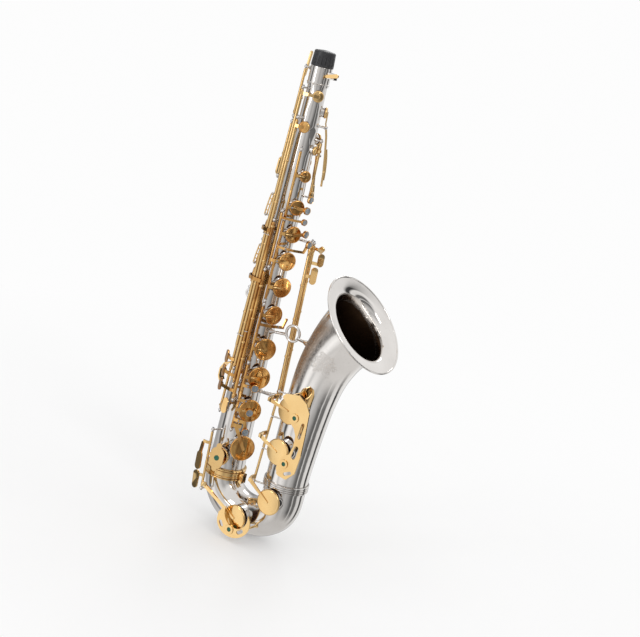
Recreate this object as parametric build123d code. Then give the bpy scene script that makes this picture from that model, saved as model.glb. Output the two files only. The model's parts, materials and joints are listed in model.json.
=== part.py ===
from build123d import *
import math
import os
from collections import namedtuple

# Body of a saxophone: conical body tube, bow and bell, with keys, hinge rods, posts and guards.
# The body axis is Z, pointing up. The bell leg stands in front of it at +X; the right side is
# -Y and the back is -X. Angles round the body run in degrees from the front (+X) towards the
# right side. Heights z count from near the foot of the bow; on export the pieces are lowered
# by ORIGIN_Z so that the origin is the centre of the neck socket.

# ---------------------------------------------------------------- main sizes (mm)
BODY_R_LOW = 29.3        # body tube outer radius where the bow joins
BODY_R_TOP = 13.9        # body tube outer radius at the top of the taper
TAPER_LOW, TAPER_TOP = 76.0, 726.0
TAPER = (BODY_R_LOW - BODY_R_TOP) / (TAPER_TOP - TAPER_LOW)
TUBE_TOP = 708.0         # upper end of the body tube
WALL = 1.0
ORIGIN_Z = 720.5

BOW_SPAN = 114.0         # from the body axis to the bell leg
BOW_Z = TAPER_LOW        # where the bow leaves the body tube
BOW_DEPTH = 44.5         # drop of the bow centre line
BOW_ARC_SHARE = 0.86     # share of the bow's widening taken by the arc
BELL_Z = 104.0           # lower end of the bell
BELL_R = 33.0            # radius there
RIM_R = 79.0             # radius of the bell rim
SOCKET_R = 14.0          # neck socket

ROD_R = 1.10             # hinge rods
TUBE_R = 2.05            # hinge tubes
BORE_R = 1.16            # bore of the hinge tubes, a running fit on the rods
TABLE_TUBE_R = 2.7       # hinge tubes of the left little finger keys
BALL_R = 2.75            # ball of a post
STEM_R = 1.35            # stem of a post
ROOT_DEPTH = 2.5         # how far a post starts below the tube surface

SEAT = 0.06              # gap between a closed pad and its tone hole
PAD_PROUD = 1.4          # pad showing below the cup skirt
BIG_PAD_PROUD = 1.6      # the same on the bow and bell
PAD_IN_CUP = 0.98        # pad hidden inside the skirt
DOME_H = 3.9             # from cup skirt to the top of the dome

X_DIR, Y_DIR, Z_DIR = Vector(1, 0, 0), Vector(0, 1, 0), Vector(0, 0, 1)
RIGHT = Vector(0, -1, 0)

# Tone holes of the body tube, each named after the key that covers it.
# angle, z, cup radius, hole radius, chimney height
ToneHole = namedtuple("ToneHole", "angle z cup_r bore_r height")
HOLES = {name: ToneHole(*row) for name, row in {
    "d": (28, 134, 20.0, 16.0, 4.6), "e": (31, 196, 18.0, 14.4, 4.4),
    "f": (26, 250, 17.8, 14.2, 4.2), "fs": (27, 296, 17.3, 13.6, 4.0),
    "gs": (21, 350, 15.0, 11.6, 3.8), "g": (17, 395, 15.5, 12.0, 3.8),
    "bis": (19, 436, 14.4, 11.2, 3.6), "a": (20, 478, 13.0, 10.2, 3.6),
    "b": (28, 519, 11.8, 9.2, 3.4), "c": (23, 567, 9.0, 6.6, 3.2),
    "high_fs": (44, 686, 8.6, 6.2, 3.4), "side_e": (70, 638, 8.6, 6.2, 3.4),
    "side_c": (148, 477, 11.0, 8.2, 3.6), "side_bb": (148, 400, 12.0, 9.2, 3.8),
    "eb": (79, 113, 14.6, 11.4, 4.4), "palm_f": (-31, 664, 8.4, 6.0, 3.4),
    "palm_eb": (-66, 622, 8.8, 6.4, 3.4), "palm_d": (-98, 584, 9.2, 6.8, 3.4),
    "front_f": (-4, 607, 6.6, 4.4, 3.2), "octave": (186, 590, 4.6, 1.6, 4.2),
}.items()}

# Tone holes on the right side of the bow and the bell: y is that of the chimney top.
# x, z, cup radius, hole radius, y
BigHole = namedtuple("BigHole", "x z cup_r bore_r y")
BIG_HOLES = {
    "low_c": BigHole(66.0, 35.5, 20.8, 17.0, -37.2),
    "low_cs": BigHole(116.0, 82.5, 20.2, 16.0, -38.4),
    "low_bb": BigHole(116.6, 166.0, 20.4, 16.8, -41.0),
    "low_b": BigHole(120.6, 234.0, 20.4, 16.8, -43.2),
}

# keys whose pad is a piece of its own
PADDED_KEYS = {"d", "e", "f", "fs", "gs", "g", "low_b", "low_bb", "low_cs", "eb", "low_c"}

# Bell up to the flare: x, z, outer radius, lean of the section towards +X in degrees
BELL_SECTIONS = [
    (BOW_SPAN, BELL_Z, BELL_R, 0.0), (114.1, 112.0, 33.05, 0.8), (114.4, 128.0, 33.25, 1.6),
    (115.3, 150.0, 33.7, 2.4), (116.5, 175.0, 34.4, 3.0), (117.9, 200.0, 35.2, 3.7),
    (119.7, 225.0, 36.1, 4.8), (122.2, 250.0, 37.2, 6.6), (124.8, 270.0, 38.5, 8.8),
    (128.4, 290.0, 40.2, 12.2), (138.2, 322.0, 43.6, 20.5), (149.4, 346.5, 47.0, 28.5),
    (158.4, 362.2, 49.8, 34.8), (164.8, 372.8, 52.0, 41.2), (169.97, 380.3, 54.6, 46.6)]

# Flare: centre and lean of the rim plane, then (depth behind that plane, outer radius)
RIM_CENTRE = Vector(175.985, 0, 385.986)
RIM_LEAN = 46.6
FLARE_POINTS = [(8.3, 54.6), (6.3, 55.9), (4.4, 58.2), (3.0, 61.6), (2.0, 66.4),
                (1.1, 72.4), (0.4, 78.6)]

PIECES = {}                                   # piece name -> shape
RODS = []
POSTS = {"body": [], "bow": [], "bell": []}   # posts by the tube they stand on


# ---------------------------------------------------------------- places on the body tube
def body_radius(z):
    return BODY_R_LOW - TAPER * (z - TAPER_LOW)


def on_body(angle, z, height=0.0):
    """Point at radial distance height outside the body tube."""
    turn = math.radians(angle)
    radius = body_radius(z) + height
    return Vector(radius * math.cos(turn), -radius * math.sin(turn), z)


def normal(angle):
    """Outward normal of the body cone."""
    turn = math.radians(angle)
    return Vector(math.cos(turn), -math.sin(turn), TAPER).normalized()


def above(angle, z, height):
    """Point at height along the normal of the body cone."""
    return on_body(angle, z) + normal(angle) * height


def cup_top(name):
    """Height of the top of a closed cup above the body tube."""
    return HOLES[name].height + SEAT + PAD_PROUD + DOME_H


def hole_plane(hole):
    turn = math.radians(hole.angle)
    uphill = Vector(-TAPER * math.cos(turn), TAPER * math.sin(turn), 1).normalized()
    return Plane(origin=on_body(hole.angle, hole.z), x_dir=uphill, z_dir=normal(hole.angle))


def big_hole_plane(hole):
    return Plane(origin=Vector(hole.x, hole.y, hole.z), x_dir=Z_DIR, z_dir=RIGHT)


# ---------------------------------------------------------------- basic shapes
def bar(start, end, radius):
    run = end - start
    return extrude(Plane(origin=start, z_dir=run.normalized()) * Circle(radius), run.length)


def cone_bar(start, end, start_r, end_r):
    run = end - start
    plane = Plane(origin=start, z_dir=run.normalized())
    return plane * (Pos(0, 0, run.length / 2) * Cone(start_r, end_r, run.length))


def turned(face):
    """Revolve a profile drawn as (radius, z) round the Z axis."""
    return revolve(Plane.XZ * face, Axis.Z, 360)


def slab(y, sketch, thick):
    """Sketch drawn as (x, z) at depth y, extruded towards the right side."""
    plane = Plane(origin=Vector(0, y, 0), x_dir=X_DIR, z_dir=RIGHT)
    return extrude(plane * sketch, thick)


def plate(start, end, start_r, end_r, thick, up):
    """Plate with a round end at each point, its thickness centred on the line between them."""
    run = end - start
    length = run.length
    x_dir = run.normalized()
    z_dir = (up - x_dir * up.dot(x_dir)).normalized()
    cosine = (start_r - end_r) / length      # direction of the common tangent points
    sine = math.sqrt(1 - cosine ** 2)
    start_x, start_y = start_r * cosine, start_r * sine
    end_x, end_y = length + end_r * cosine, end_r * sine
    outline = [
        Line((start_x, start_y), (end_x, end_y)),
        ThreePointArc((end_x, end_y), (length + end_r, 0), (end_x, -end_y)),
        Line((end_x, -end_y), (start_x, -start_y)),
        ThreePointArc((start_x, -start_y), (-start_r, 0), (start_x, start_y))]
    plane = Plane(origin=start - z_dir * (thick / 2), x_dir=x_dir, z_dir=z_dir)
    return plane * extrude(make_face(Curve() + outline), thick)


def strip(points, width, thick, across):
    """Mitred bent strip through the points; its width lies along the direction across."""
    origin = points[0]
    z_dir = across.normalized()
    run = points[1] - origin
    x_dir = (run - z_dir * run.dot(z_dir)).normalized()
    y_dir = z_dir.cross(x_dir)
    path = [((p - origin).dot(x_dir), (p - origin).dot(y_dir)) for p in points]
    normals = []
    for (x0, y0), (x1, y1) in zip(path, path[1:]):
        length = math.hypot(x1 - x0, y1 - y0)
        normals.append((-(y1 - y0) / length, (x1 - x0) / length))
    normals = [normals[0]] + normals + [normals[-1]]
    left, right = [], []
    for (x, y), before, after in zip(path, normals, normals[1:]):
        sum_x, sum_y = before[0] + after[0], before[1] + after[1]
        size = math.hypot(sum_x, sum_y)
        mitre_x, mitre_y = sum_x / size, sum_y / size
        # the limit keeps sharp bends from growing a spike
        reach = thick / 2 / max(0.35, mitre_x * before[0] + mitre_y * before[1])
        left.append((x + mitre_x * reach, y + mitre_y * reach))
        right.append((x - mitre_x * reach, y - mitre_y * reach))
    face = make_face(Polyline(*(left + right[::-1]), close=True))
    plane = Plane(origin=origin - z_dir * (width / 2), x_dir=x_dir, z_dir=z_dir)
    return plane * extrude(face, width)


def fuse_all(shapes):
    return shapes[0].fuse(*shapes[1:]) if len(shapes) > 1 else shapes[0]


# ---------------------------------------------------------------- hinges and posts
def add_post(tube, ball, foot, ball_r, rod_dir):
    """Ball post from a foot inside the tube wall to a ball drilled for the rod."""
    rise = (ball - foot).normalized()
    length = (ball - foot).length
    x_dir = rise.cross(rod_dir).normalized()
    flange_h = min(4.6, length * 0.5)
    stem_top = length - math.sqrt(ball_r ** 2 - STEM_R ** 2)
    profile = make_face(Curve() + [
        Line((0, 0), (3.4, 0)), Line((3.4, 0), (1.5, flange_h)),
        Line((1.5, flange_h), (STEM_R, flange_h)), Line((STEM_R, flange_h), (STEM_R, stem_top)),
        ThreePointArc((STEM_R, stem_top), (ball_r, length), (0, length + ball_r)),
        Line((0, length + ball_r), (0, 0))])
    plane = Plane(origin=foot, x_dir=x_dir, z_dir=x_dir.cross(rise))
    shape = revolve(plane * profile, Axis(foot, rise), 360)
    shape -= bar(ball - rod_dir * 8, ball + rod_dir * 8, ROD_R)
    POSTS[tube].append(shape)


def add_body_post(ball, rod_dir, ball_r=BALL_R, foot_r=None):
    """Post standing radially on the body tube, or on a given foot radius."""
    if foot_r is None:
        foot_r = body_radius(ball.Z) - ROOT_DEPTH
    foot = Vector(0, 0, ball.Z) + Vector(ball.X, ball.Y, 0).normalized() * foot_r
    add_post("body", ball, foot, ball_r, rod_dir)


class Hinge:
    """Straight hinge line between two points; making one also adds its rod."""

    def __init__(self, start, end):
        self.start, self.end = start, end
        self.axis = (end - start).normalized()
        overhang = self.axis * 2.2
        RODS.append(bar(start - overhang, end + overhang, ROD_R))

    def at(self, z):
        share = (z - self.start.Z) / (self.end.Z - self.start.Z)
        return self.start + (self.end - self.start) * share

    def beside(self, z, dx, dy):
        return self.at(z) + Vector(dx, dy, 0)

    def between(self, low, high):
        return self.at(low), self.at(high)

    def inset(self, gap=3.2):
        """Ends of a tube that fills the hinge but for a gap at each end post."""
        return self.between(self.start.Z + gap, self.end.Z - gap)

    def posts(self, *heights, ball_r=BALL_R):
        for z in heights:
            add_body_post(self.at(z), self.axis, ball_r)


def body_hinge(low, high, ball_r=BALL_R, middle=()):
    """Hinge over the body between two (angle, z, height), with posts at both ends."""
    hinge = Hinge(on_body(*low), on_body(*high))
    hinge.posts(low[1], *middle, high[1], ball_r=ball_r)
    return hinge


# ---------------------------------------------------------------- keys
def cup_shape(plane, radius, skirt):
    """Pad cup with a domed top; skirt is the height of its lower edge over the plane."""
    roof = skirt + 1.0
    return plane * turned(make_face(Curve() + [
        Line((0, roof), (radius - 0.9, roof)), Line((radius - 0.9, roof), (radius - 0.9, skirt)),
        Line((radius - 0.9, skirt), (radius, skirt)),
        Line((radius, skirt), (radius, skirt + 1.5)),
        ThreePointArc((radius, skirt + 1.5), (radius - 0.75, skirt + 2.75),
                      (radius - 2.2, skirt + 3.2)),
        ThreePointArc((radius - 2.2, skirt + 3.2), (radius * 0.45, skirt + 3.75),
                      (0, skirt + DOME_H)),
        Line((0, skirt + DOME_H), (0, roof))]))


class Key:
    """Key built up from parts round a hinge tube; closed until it is finished with a lift."""

    def __init__(self, name, hinge, ends, tube_r=TUBE_R):
        start, end = ends
        overrun = hinge.axis * 0.5
        self.name, self.hinge = name, hinge
        self.parts = [bar(start, end, tube_r)]
        self.bore = bar(start - overrun, end + overrun, BORE_R)

    def strip(self, points, width, thick):
        self.parts.append(strip(points, width, thick, self.hinge.axis))

    def arm(self, z, points, width, thick):
        """Strip from the hinge at height z through (angle, height) points round the body."""
        route = [on_body(angle, z, height) for angle, height in points]
        self.strip([self.hinge.at(z)] + route, width, thick)

    def plate(self, *args):
        self.parts.append(plate(*args))

    def touch(self, angle, z, height, radius):
        """Round seat of a touch button, hollow on top."""
        seat = Pos(0, 0, 0.3) * Cylinder(radius, 3.4)
        seat -= Pos(0, 0, 1.4) * Cylinder(radius - 0.8, 1.6)
        self.parts.append(Plane(origin=on_body(angle, z, height), z_dir=normal(angle)) * seat)

    def cover(self, plane, radius, hole_top, proud):
        pad_low = hole_top + SEAT
        skirt = pad_low + proud
        pad_high = skirt + PAD_IN_CUP
        self.cup_plane = plane
        self.parts.append(cup_shape(plane, radius, skirt))
        self.pad = plane * (Pos(0, 0, (pad_low + pad_high) / 2)
                            * Cylinder(radius - 0.95, pad_high - pad_low))

    def cup(self, boss=True):
        """Cup over the body tone hole of the same name, with a small disc on top."""
        hole = HOLES[self.name]
        self.cover(hole_plane(hole), hole.cup_r, hole.height, PAD_PROUD)
        if boss:
            centre = above(hole.angle, hole.z, cup_top(self.name) + 0.4)
            self.parts.append(Plane(origin=centre, z_dir=normal(hole.angle)) * Cylinder(2.6, 1.6))

    def big_cup(self):
        hole = BIG_HOLES[self.name]
        self.cover(big_hole_plane(hole), hole.cup_r, 0, BIG_PAD_PROUD)

    def finish(self, lift=0):
        """Fuse and bore the key and turn it open by lift degrees."""
        shapes = {"key_" + self.name: fuse_all(self.parts).cut(self.bore)}
        if self.name in PADDED_KEYS:
            shapes["pad_" + self.name] = self.pad
        if lift:
            start, axis = self.hinge.start, self.hinge.axis
            motion = axis.cross(self.cup_plane.origin - start)
            sign = 1 if motion.dot(self.cup_plane.z_dir) > 0 else -1
            shapes = {name: shape.rotate(Axis(start, axis), sign * lift)
                      for name, shape in shapes.items()}
        PIECES.update(shapes)


# ---------------------------------------------------------------- right hand stack
def right_hand_stack():
    hinge = body_hinge((66, 162, 11.0), (60, 366, 10.5), middle=[271.9])

    key = Key("d", hinge, hinge.between(165.4, 187.0))
    key.cup()
    hole = HOLES["d"]
    cup_centre = above(hole.angle, hole.z, cup_top("d") + 0.6)
    key.plate(on_body(57, 171, 13.2), cup_centre, 3.0, 2.2, 2.0, normal(40))
    key.arm(171, [(64, 14.2), (57, 13.6), (44, 13.2)], 6.0, 2.2)
    key.arm(180, [(64, 14.2), (54, 15.5), (38, 17.0)], 5.0, 2.2)
    key.plate(on_body(40, 180, 16.7), on_body(35, 165.5, 16.4), 2.5, 3.0, 2.2, normal(38))
    key.touch(35, 165, 18.6, 6.2)
    key.finish(9.0)

    key = Key("e", hinge, hinge.between(187.4, 226.0))
    key.cup()
    key.arm(196, [(64.0, 13.5), (54, 12.6), (31, 10.6)], 5.4, 2.0)
    key.arm(212, [(64.0, 13.5), (54, 12.6), (42, 12.2)], 4.4, 2.0)
    key.plate(on_body(46, 212, 12.3), on_body(34, 200, 11.2), 2.2, 2.2, 2.0, normal(40))
    key.touch(34, 195, 13.4, 6.2)
    key.finish(9.0)

    key = Key("f", hinge, hinge.between(226.4, 268.2))
    key.cup()
    key.arm(250, [(62, 13.5), (52, 12.4), (26, 10.4)], 5.4, 2.0)
    key.arm(236, [(62, 13.5), (52, 13.6), (36, 13.6)], 4.6, 2.0)
    key.touch(35, 235.4, 15.6, 6.2)
    key.finish(9.0)

    key = Key("fs", hinge, hinge.between(275.6, 322.0))
    key.cup()
    key.arm(296, [(60.5, 13.3), (51, 12.2), (27, 10.2)], 5.4, 2.0)
    key.arm(312, [(60.5, 13.3), (51, 12.4), (44, 12.2)], 4.4, 2.0)
    key.plate(on_body(47, 312, 12.3), on_body(29, 298, 10.8), 2.2, 2.0, 2.0, normal(36))
    key.finish(9.0)

    key = Key("gs", hinge, hinge.between(322.4, 362.4))
    key.cup()
    key.arm(350, [(59.5, 13.2), (50, 12.0), (21, 10.0)], 5.0, 2.0)
    key.arm(335, [(59.5, 13.2), (50, 12.4), (30, 13.0), (-6, 17.5)], 4.2, 2.0)
    key.plate(on_body(-2, 335, 17.0), on_body(-8, 346, 18.2), 2.1, 2.8, 2.0, normal(-6))
    key.finish()


# ---------------------------------------------------------------- left hand stack
def left_hand_stack():
    hinge = body_hinge((60, 372, 10.5), (60, 606, 10.0), middle=[499.6])

    key = Key("g", hinge, hinge.between(375.6, 460.4))
    key.cup()
    key.arm(395, [(58, 13.2), (48, 12.0), (17, 10.0)], 5.2, 2.0)
    key.arm(457.4, [(58, 13.4), (46, 17.0), (24, 22.5), (2, 26.6)], 3.6, 2.2)
    key.plate(on_body(3, 457.4, 26.4), on_body(-2, 467, 27.2), 1.9, 2.6, 2.2, normal(0))
    # this button faces 2 degrees further round than it stands
    seat = Pos(0, 0, 0.3) * Cylinder(6.0, 3.4)
    seat -= Pos(0, 0, 1.4) * Cylinder(5.2, 1.6)
    key.parts.append(Plane(origin=on_body(-2, 470, 29.4), z_dir=normal(-4)) * seat)
    key.finish(7.5)

    key = Key("a", hinge, hinge.between(460.8, 496.4))
    key.cup()
    key.arm(478, [(58, 13.0), (48, 11.8), (20, 9.8)], 5.0, 2.0)
    key.plate(above(20, 478, 10.2), on_body(-1, 482, 16.6), 2.4, 2.6, 2.2, normal(8))
    key.touch(-3, 483, 18.8, 5.8)
    key.finish(8.0)

    key = Key("b", hinge, hinge.between(502.8, 544.6))
    key.cup()
    key.arm(519, [(57.5, 12.8), (50, 11.6), (28, 9.4)], 4.8, 2.0)
    key.plate(above(28, 519, 9.8), on_body(8, 518.4, 14.4), 2.3, 2.6, 2.2, normal(16))
    key.touch(6, 518.5, 16.6, 5.8)
    key.finish(8.0)

    key = Key("c", hinge, hinge.between(545.0, 602.6))
    key.cup()
    key.arm(567, [(57.5, 12.8), (48, 11.4), (23, 9.2)], 4.6, 2.0)
    key.finish(8.0)


def bis_key():
    """Bis key on its own rod beside the left hand stack."""
    hinge = body_hinge((71, 424, 10.5), (71, 511, 10.5))
    key = Key("bis", hinge, hinge.inset())
    key.cup()
    key.arm(436, [(70, 14.2), (58, 14.8), (44, 12.8), (19, 10.0)], 5.0, 2.0)
    key.arm(501.6, [(70, 14.4), (56, 15.4), (30, 16.2), (12, 16.6)], 3.4, 2.0)
    key.touch(8, 501.2, 17.6, 4.9)
    key.finish(7.0)


def front_f_key():
    """Front F lever on its own rod, on the left of the upper stack."""
    hinge = body_hinge((-24, 536, 9.5), (-24, 622, 9.0))
    key = Key("front_f", hinge, hinge.inset())
    key.cup(boss=False)
    key.arm(607, [(-21, 11.4), (-14, 10.6), (-4, 9.2)], 4.0, 1.8)
    key.arm(545, [(-21, 12.0), (-10, 15.4), (4, 17.0)], 3.8, 2.0)
    key.plate(on_body(2, 545, 16.8), on_body(6, 537, 17.2), 2.0, 2.4, 2.0, normal(4))
    key.touch(6, 535.4, 19.4, 5.6)
    key.finish()


# ---------------------------------------------------------------- side keys
SIDE_BALL_R = 2.6
PADDLE_ARM_H, PADDLE_H = 13.6, 15.4   # heights where the paddle arm starts and ends
PADDLE_HALF = 4.83                    # half the distance between the paddle's end centres


def side_key(name, low, high, paddle, arm_z, arm_points, arm_width, boss=False):
    """Long side key; paddle is (z, angle at the hinge, angle at the tip)."""
    hinge = body_hinge(low, high, SIDE_BALL_R)
    key = Key(name, hinge, hinge.inset())
    z, hinge_angle, tip = paddle
    key.arm(z, [(hinge_angle + 2, PADDLE_ARM_H), (hinge_angle + 10, PADDLE_ARM_H + 1.6),
                (tip - 6, PADDLE_H)], 5.0, 2.0)
    key.plate(on_body(tip, z - PADDLE_HALF, PADDLE_H + 0.4),
              on_body(tip, z + PADDLE_HALF, PADDLE_H + 0.4), 5.4, 4.9, 2.4, normal(tip))
    key.cup(boss)
    key.arm(arm_z, arm_points, arm_width, 2.0)
    key.finish()


def side_keys():
    side_key("side_bb", (79.5, 208, 11.0), (80.0, 418, 10.5), (223, 79.5, 126), 400,
             [(82, 14.4), (92, 15.6), (104, 15.8), (118, 15.4), (132, 12.9), (148, 9.9)], 5.4)
    side_key("side_c", (88.8, 232, 11.0), (89.3, 494, 10.5), (245.6, 89.0, 127), 477,
             [(91, 13.4), (98, 14.6), (112, 15.0), (126, 13.6), (138, 11.4), (148, 9.7)], 5.2)
    side_key("side_e", (98.0, 256, 11.0), (99.5, 650, 10.0), (268.6, 98.0, 128), 638,
             [(96, 12.4), (86, 11.8), (70, 9.4)], 4.6, boss=True)


def high_fs_key():
    hinge = body_hinge((109.5, 184, 11.0), (112.0, 694, 9.5), SIDE_BALL_R)
    key = Key("high_fs", hinge, hinge.inset())
    key.arm(195, [(107, 13.6), (98, 15.2), (90, 15.6)], 5.0, 2.0)
    key.plate(on_body(92, 189, 15.6), on_body(92, 205, 15.8), 5.0, 4.2, 2.4, normal(92))
    key.cup()
    key.arm(686, [(108, 12.4), (94, 13.4), (78, 12.8), (60, 11.4), (44, 9.6)], 4.6, 2.0)
    key.finish()


# ---------------------------------------------------------------- palm keys
def palm_key(name, pivot_z, lever, plate_length, thick=2.4):
    """See-saw lever on a short cross rod; lever lists (z, height) down to the palm plate."""
    angle, cup_z = HOLES[name].angle, HOLES[name].z
    turn = math.radians(angle)
    side = Vector(-math.sin(turn), -math.cos(turn), 0)
    pivot = on_body(angle, pivot_z, 11.0)
    hinge = Hinge(pivot - side * 8.0, pivot + side * 8.0)
    for ball in (hinge.start, hinge.end):
        add_body_post(ball, side, 2.5)
    key = Key(name, hinge, (hinge.start + side * 2.7, hinge.end - side * 2.7))
    key.cup(boss=False)
    key.strip([on_body(angle, cup_z + 2, cup_top(name) + 0.2),
               on_body(angle, pivot_z + 6, cup_top(name) + 0.6), pivot], 4.6, 2.0)
    key.strip([pivot] + [on_body(angle, z, height) for z, height in lever], 5.4, thick)
    tip_z, tip_height = lever[-1]
    key.plate(on_body(angle, tip_z + 3, tip_height - 0.2),
              on_body(angle, tip_z - plate_length, tip_height + 0.6),
              3.4, 6.2, thick, normal(angle))
    key.finish()


def palm_keys():
    palm_key("palm_f", 643, [(630, 14.2), (602, 18.4), (574, 21.8)], 12, thick=3.0)
    palm_key("palm_eb", 599, [(588, 13.0), (566, 14.0), (548, 16.4)], 14)
    palm_key("palm_d", 560, [(550, 13.0), (532, 14.0), (516, 16.4)], 15)


# ---------------------------------------------------------------- octave keys
RECEIVER_R = 16.2        # outer radius of the neck receiver


def octave_key():
    hinge = body_hinge((160, 556, 9.5), (160, 640, 9.0))
    key = Key("octave", hinge, hinge.inset())
    key.cup(boss=False)
    key.arm(590, [(165, 11.6), (174, 10.4), (186, 10.2)], 3.8, 1.8)
    key.arm(570, [(163, 12.0), (172, 14.2), (184, 15.4)], 4.4, 2.0)
    key.plate(on_body(180, 562, 15.2), on_body(180, 578, 15.4), 6.2, 5.2, 2.4, normal(180))
    key.finish()


def octave_neck_key():
    """Lever that reaches up past the neck receiver; its upper post stands on the receiver."""
    hinge = Hinge(on_body(160, 648.6, 9.0), on_body(160, 723, 9.6))
    hinge.posts(648.6)
    add_body_post(hinge.at(723), hinge.axis, 2.5, foot_r=RECEIVER_R + 0.01)
    key = Key("octave_neck", hinge, hinge.inset())
    key.arm(655, [(163, 11.0), (170, 11.4), (176, 11.2)], 3.8, 1.8)
    key.arm(713, [(163, 10.6), (169, 11.2), (177, 11.0)], 4.4, 1.8)
    key.plate(on_body(176, 711, 11.0), on_body(176, 744, 9.2), 2.2, 2.8, 2.2, normal(176))
    key.finish()


# ---------------------------------------------------------------- left little finger table
TABLE_LOW, TABLE_HIGH = 222, 470      # heights of the rod ends
OUTER_GAP = 3.4


def table_key(name, low_xy, high_xy):
    hinge = Hinge(Vector(*low_xy, TABLE_LOW), Vector(*high_xy, TABLE_HIGH))
    hinge.posts(TABLE_LOW, TABLE_HIGH, ball_r=2.6)
    return hinge, Key(name, hinge, hinge.inset(OUTER_GAP), TABLE_TUBE_R)


def table_keys():
    up = Vector(0.8, -0.5, 0)
    hinge, key = table_key("table_b", (53.5, 14.0), (46.0, 15.0))
    key.strip([hinge.at(420), hinge.beside(420, 6.0, 2.0), hinge.beside(420, 11.0, 7.0)], 5.0, 2.2)
    key.plate(hinge.beside(414, 11.5, 7.4), hinge.beside(430, 11.5, 7.4), 5.4, 5.4, 2.4, up)
    key.strip([hinge.at(232), hinge.beside(232, 5.0, -5.0), hinge.beside(232, 9.0, -15.0)],
              4.2, 2.2)
    key.finish()

    hinge, key = table_key("table_bb", (53.5, 22.5), (46.0, 23.0))
    key.strip([hinge.at(440), hinge.beside(440, 6.5, 2.6), hinge.beside(440, 15.0, 4.0)], 5.0, 2.2)
    key.plate(hinge.beside(442.5, 16.0, 3.0), hinge.beside(453, 16.0, 3.0), 5.0, 5.0, 2.4, up)
    key.finish()

    hinge, key = table_key("table_cs", (45.5, 30.0), (38.0, 30.0))
    key.strip([hinge.at(460), hinge.beside(460, 5.0, 5.0), hinge.beside(460, 15.0, 2.0)], 4.6, 2.2)
    key.plate(hinge.beside(460, 15.6, 1.6), hinge.beside(466, 24.0, -6.0), 4.6, 4.2, 2.4,
              Vector(0.5, 0.4, 0.75))
    key.finish()


# ---------------------------------------------------------------- keys of the bell and bow
def over_big_hole(name, height):
    """y at a height above the skirt of a closed cup on the bow or bell."""
    return BIG_HOLES[name].y - SEAT - BIG_PAD_PROUD - height


def bell_keys():
    """Three keys on one rod between the body and the bell."""
    hinge = Hinge(Vector(70.0, -22.0, 96.0), Vector(76.0, -22.0, 246.0))
    # key, tube from z, tube to z, arm z, lift
    for name, low, high, arm_z, lift in (("low_b", 206.4, 242.6, 238.0, 5.5),
                                         ("low_bb", 153.0, 203.0, 178.0, 5.5),
                                         ("low_cs", 99.4, 149.6, 104.0, 0)):
        hole = BIG_HOLES[name]
        key = Key(name, hinge, hinge.between(low, high))
        key.big_cup()
        root = hinge.at(arm_z)
        top = Vector(hole.x - 1.0, over_big_hole(name, 4.2), hole.z)
        bend = Vector(root.X + 4.0, over_big_hole(name, 3.0), arm_z)
        riser = Vector(root.X + 0.5, (root.Y + bend.Y) / 2, arm_z)
        key.strip([root, riser, bend, bend + Vector(6, -0.6, 0)], 6.0, 2.4)
        key.plate(bend + Vector(2.0, -0.4, 0), top, 3.0, 1.6, 2.2, RIGHT)
        key.finish(lift)

    add_post("bow", hinge.start, Vector(92, -18, 97), 2.8, hinge.axis)
    for z, ball_r in ((151.3, 1.45), (204.7, 1.45), (246.0, 2.6)):
        add_post("bell", hinge.at(z), Vector(96, -12, z), ball_r, hinge.axis)


def low_eb_and_c_keys():
    """E flat and low C on one rod, from the bow up to the body tube."""
    hinge = Hinge(Vector(-6.0, -46.0, 56.0), Vector(-12.0, -42.5, 152.0))
    add_body_post(hinge.end, hinge.axis, 2.8)
    add_post("bow", hinge.start, Vector(2, -26.0, 56), 2.8, hinge.axis)

    key = Key("eb", hinge, hinge.between(105.6, 148.6))
    key.cup(boss=False)
    hole = HOLES["eb"]
    key.strip([hinge.at(hole.z), Vector(-4.6, -42.8, hole.z),
               on_body(hole.angle, hole.z, cup_top("eb") + 0.2)], 5.0, 2.0)
    key.strip([hinge.at(130), Vector(-16, -46.0, 128), Vector(-22.6, -45.4, 128)], 4.6, 2.0)
    up = Vector(-0.25, -1, 0)
    key.plate(Vector(-22.6, -45.4, 126), Vector(-23.6, -45.6, 108), 2.6, 3.0, 2.4, up)
    key.plate(Vector(-23.4, -45.8, 106), Vector(-22.4, -45.8, 88), 5.6, 6.2, 2.6, up)
    key.finish()

    key = Key("low_c", hinge, hinge.between(59.4, 104.8))
    key.big_cup()
    hole = BIG_HOLES["low_c"]
    key.strip([hinge.at(66), Vector(-2.0, -49.6, 66), Vector(5.0, -50.0, 66)], 6.0, 2.4)
    key.plate(Vector(0.0, -49.6, 66), Vector(hole.x, over_big_hole("low_c", 4.2), hole.z),
              3.2, 1.8, 2.4, RIGHT)
    key.strip([hinge.at(76), Vector(-14, -47.0, 76), Vector(-22, -46.0, 76)], 4.6, 2.0)
    key.plate(Vector(-21.8, -46.0, 74), Vector(-20.6, -46.0, 56), 6.2, 5.4, 2.6,
              Vector(-0.1, -1, 0))
    key.finish(4.5)


# ---------------------------------------------------------------- tubes
def body_cone(low, high, offset=0.0):
    low_r, high_r = body_radius(low) + offset, body_radius(high) + offset
    return Pos(0, 0, (low + high) / 2) * Cone(low_r, high_r, high - low)


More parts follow.
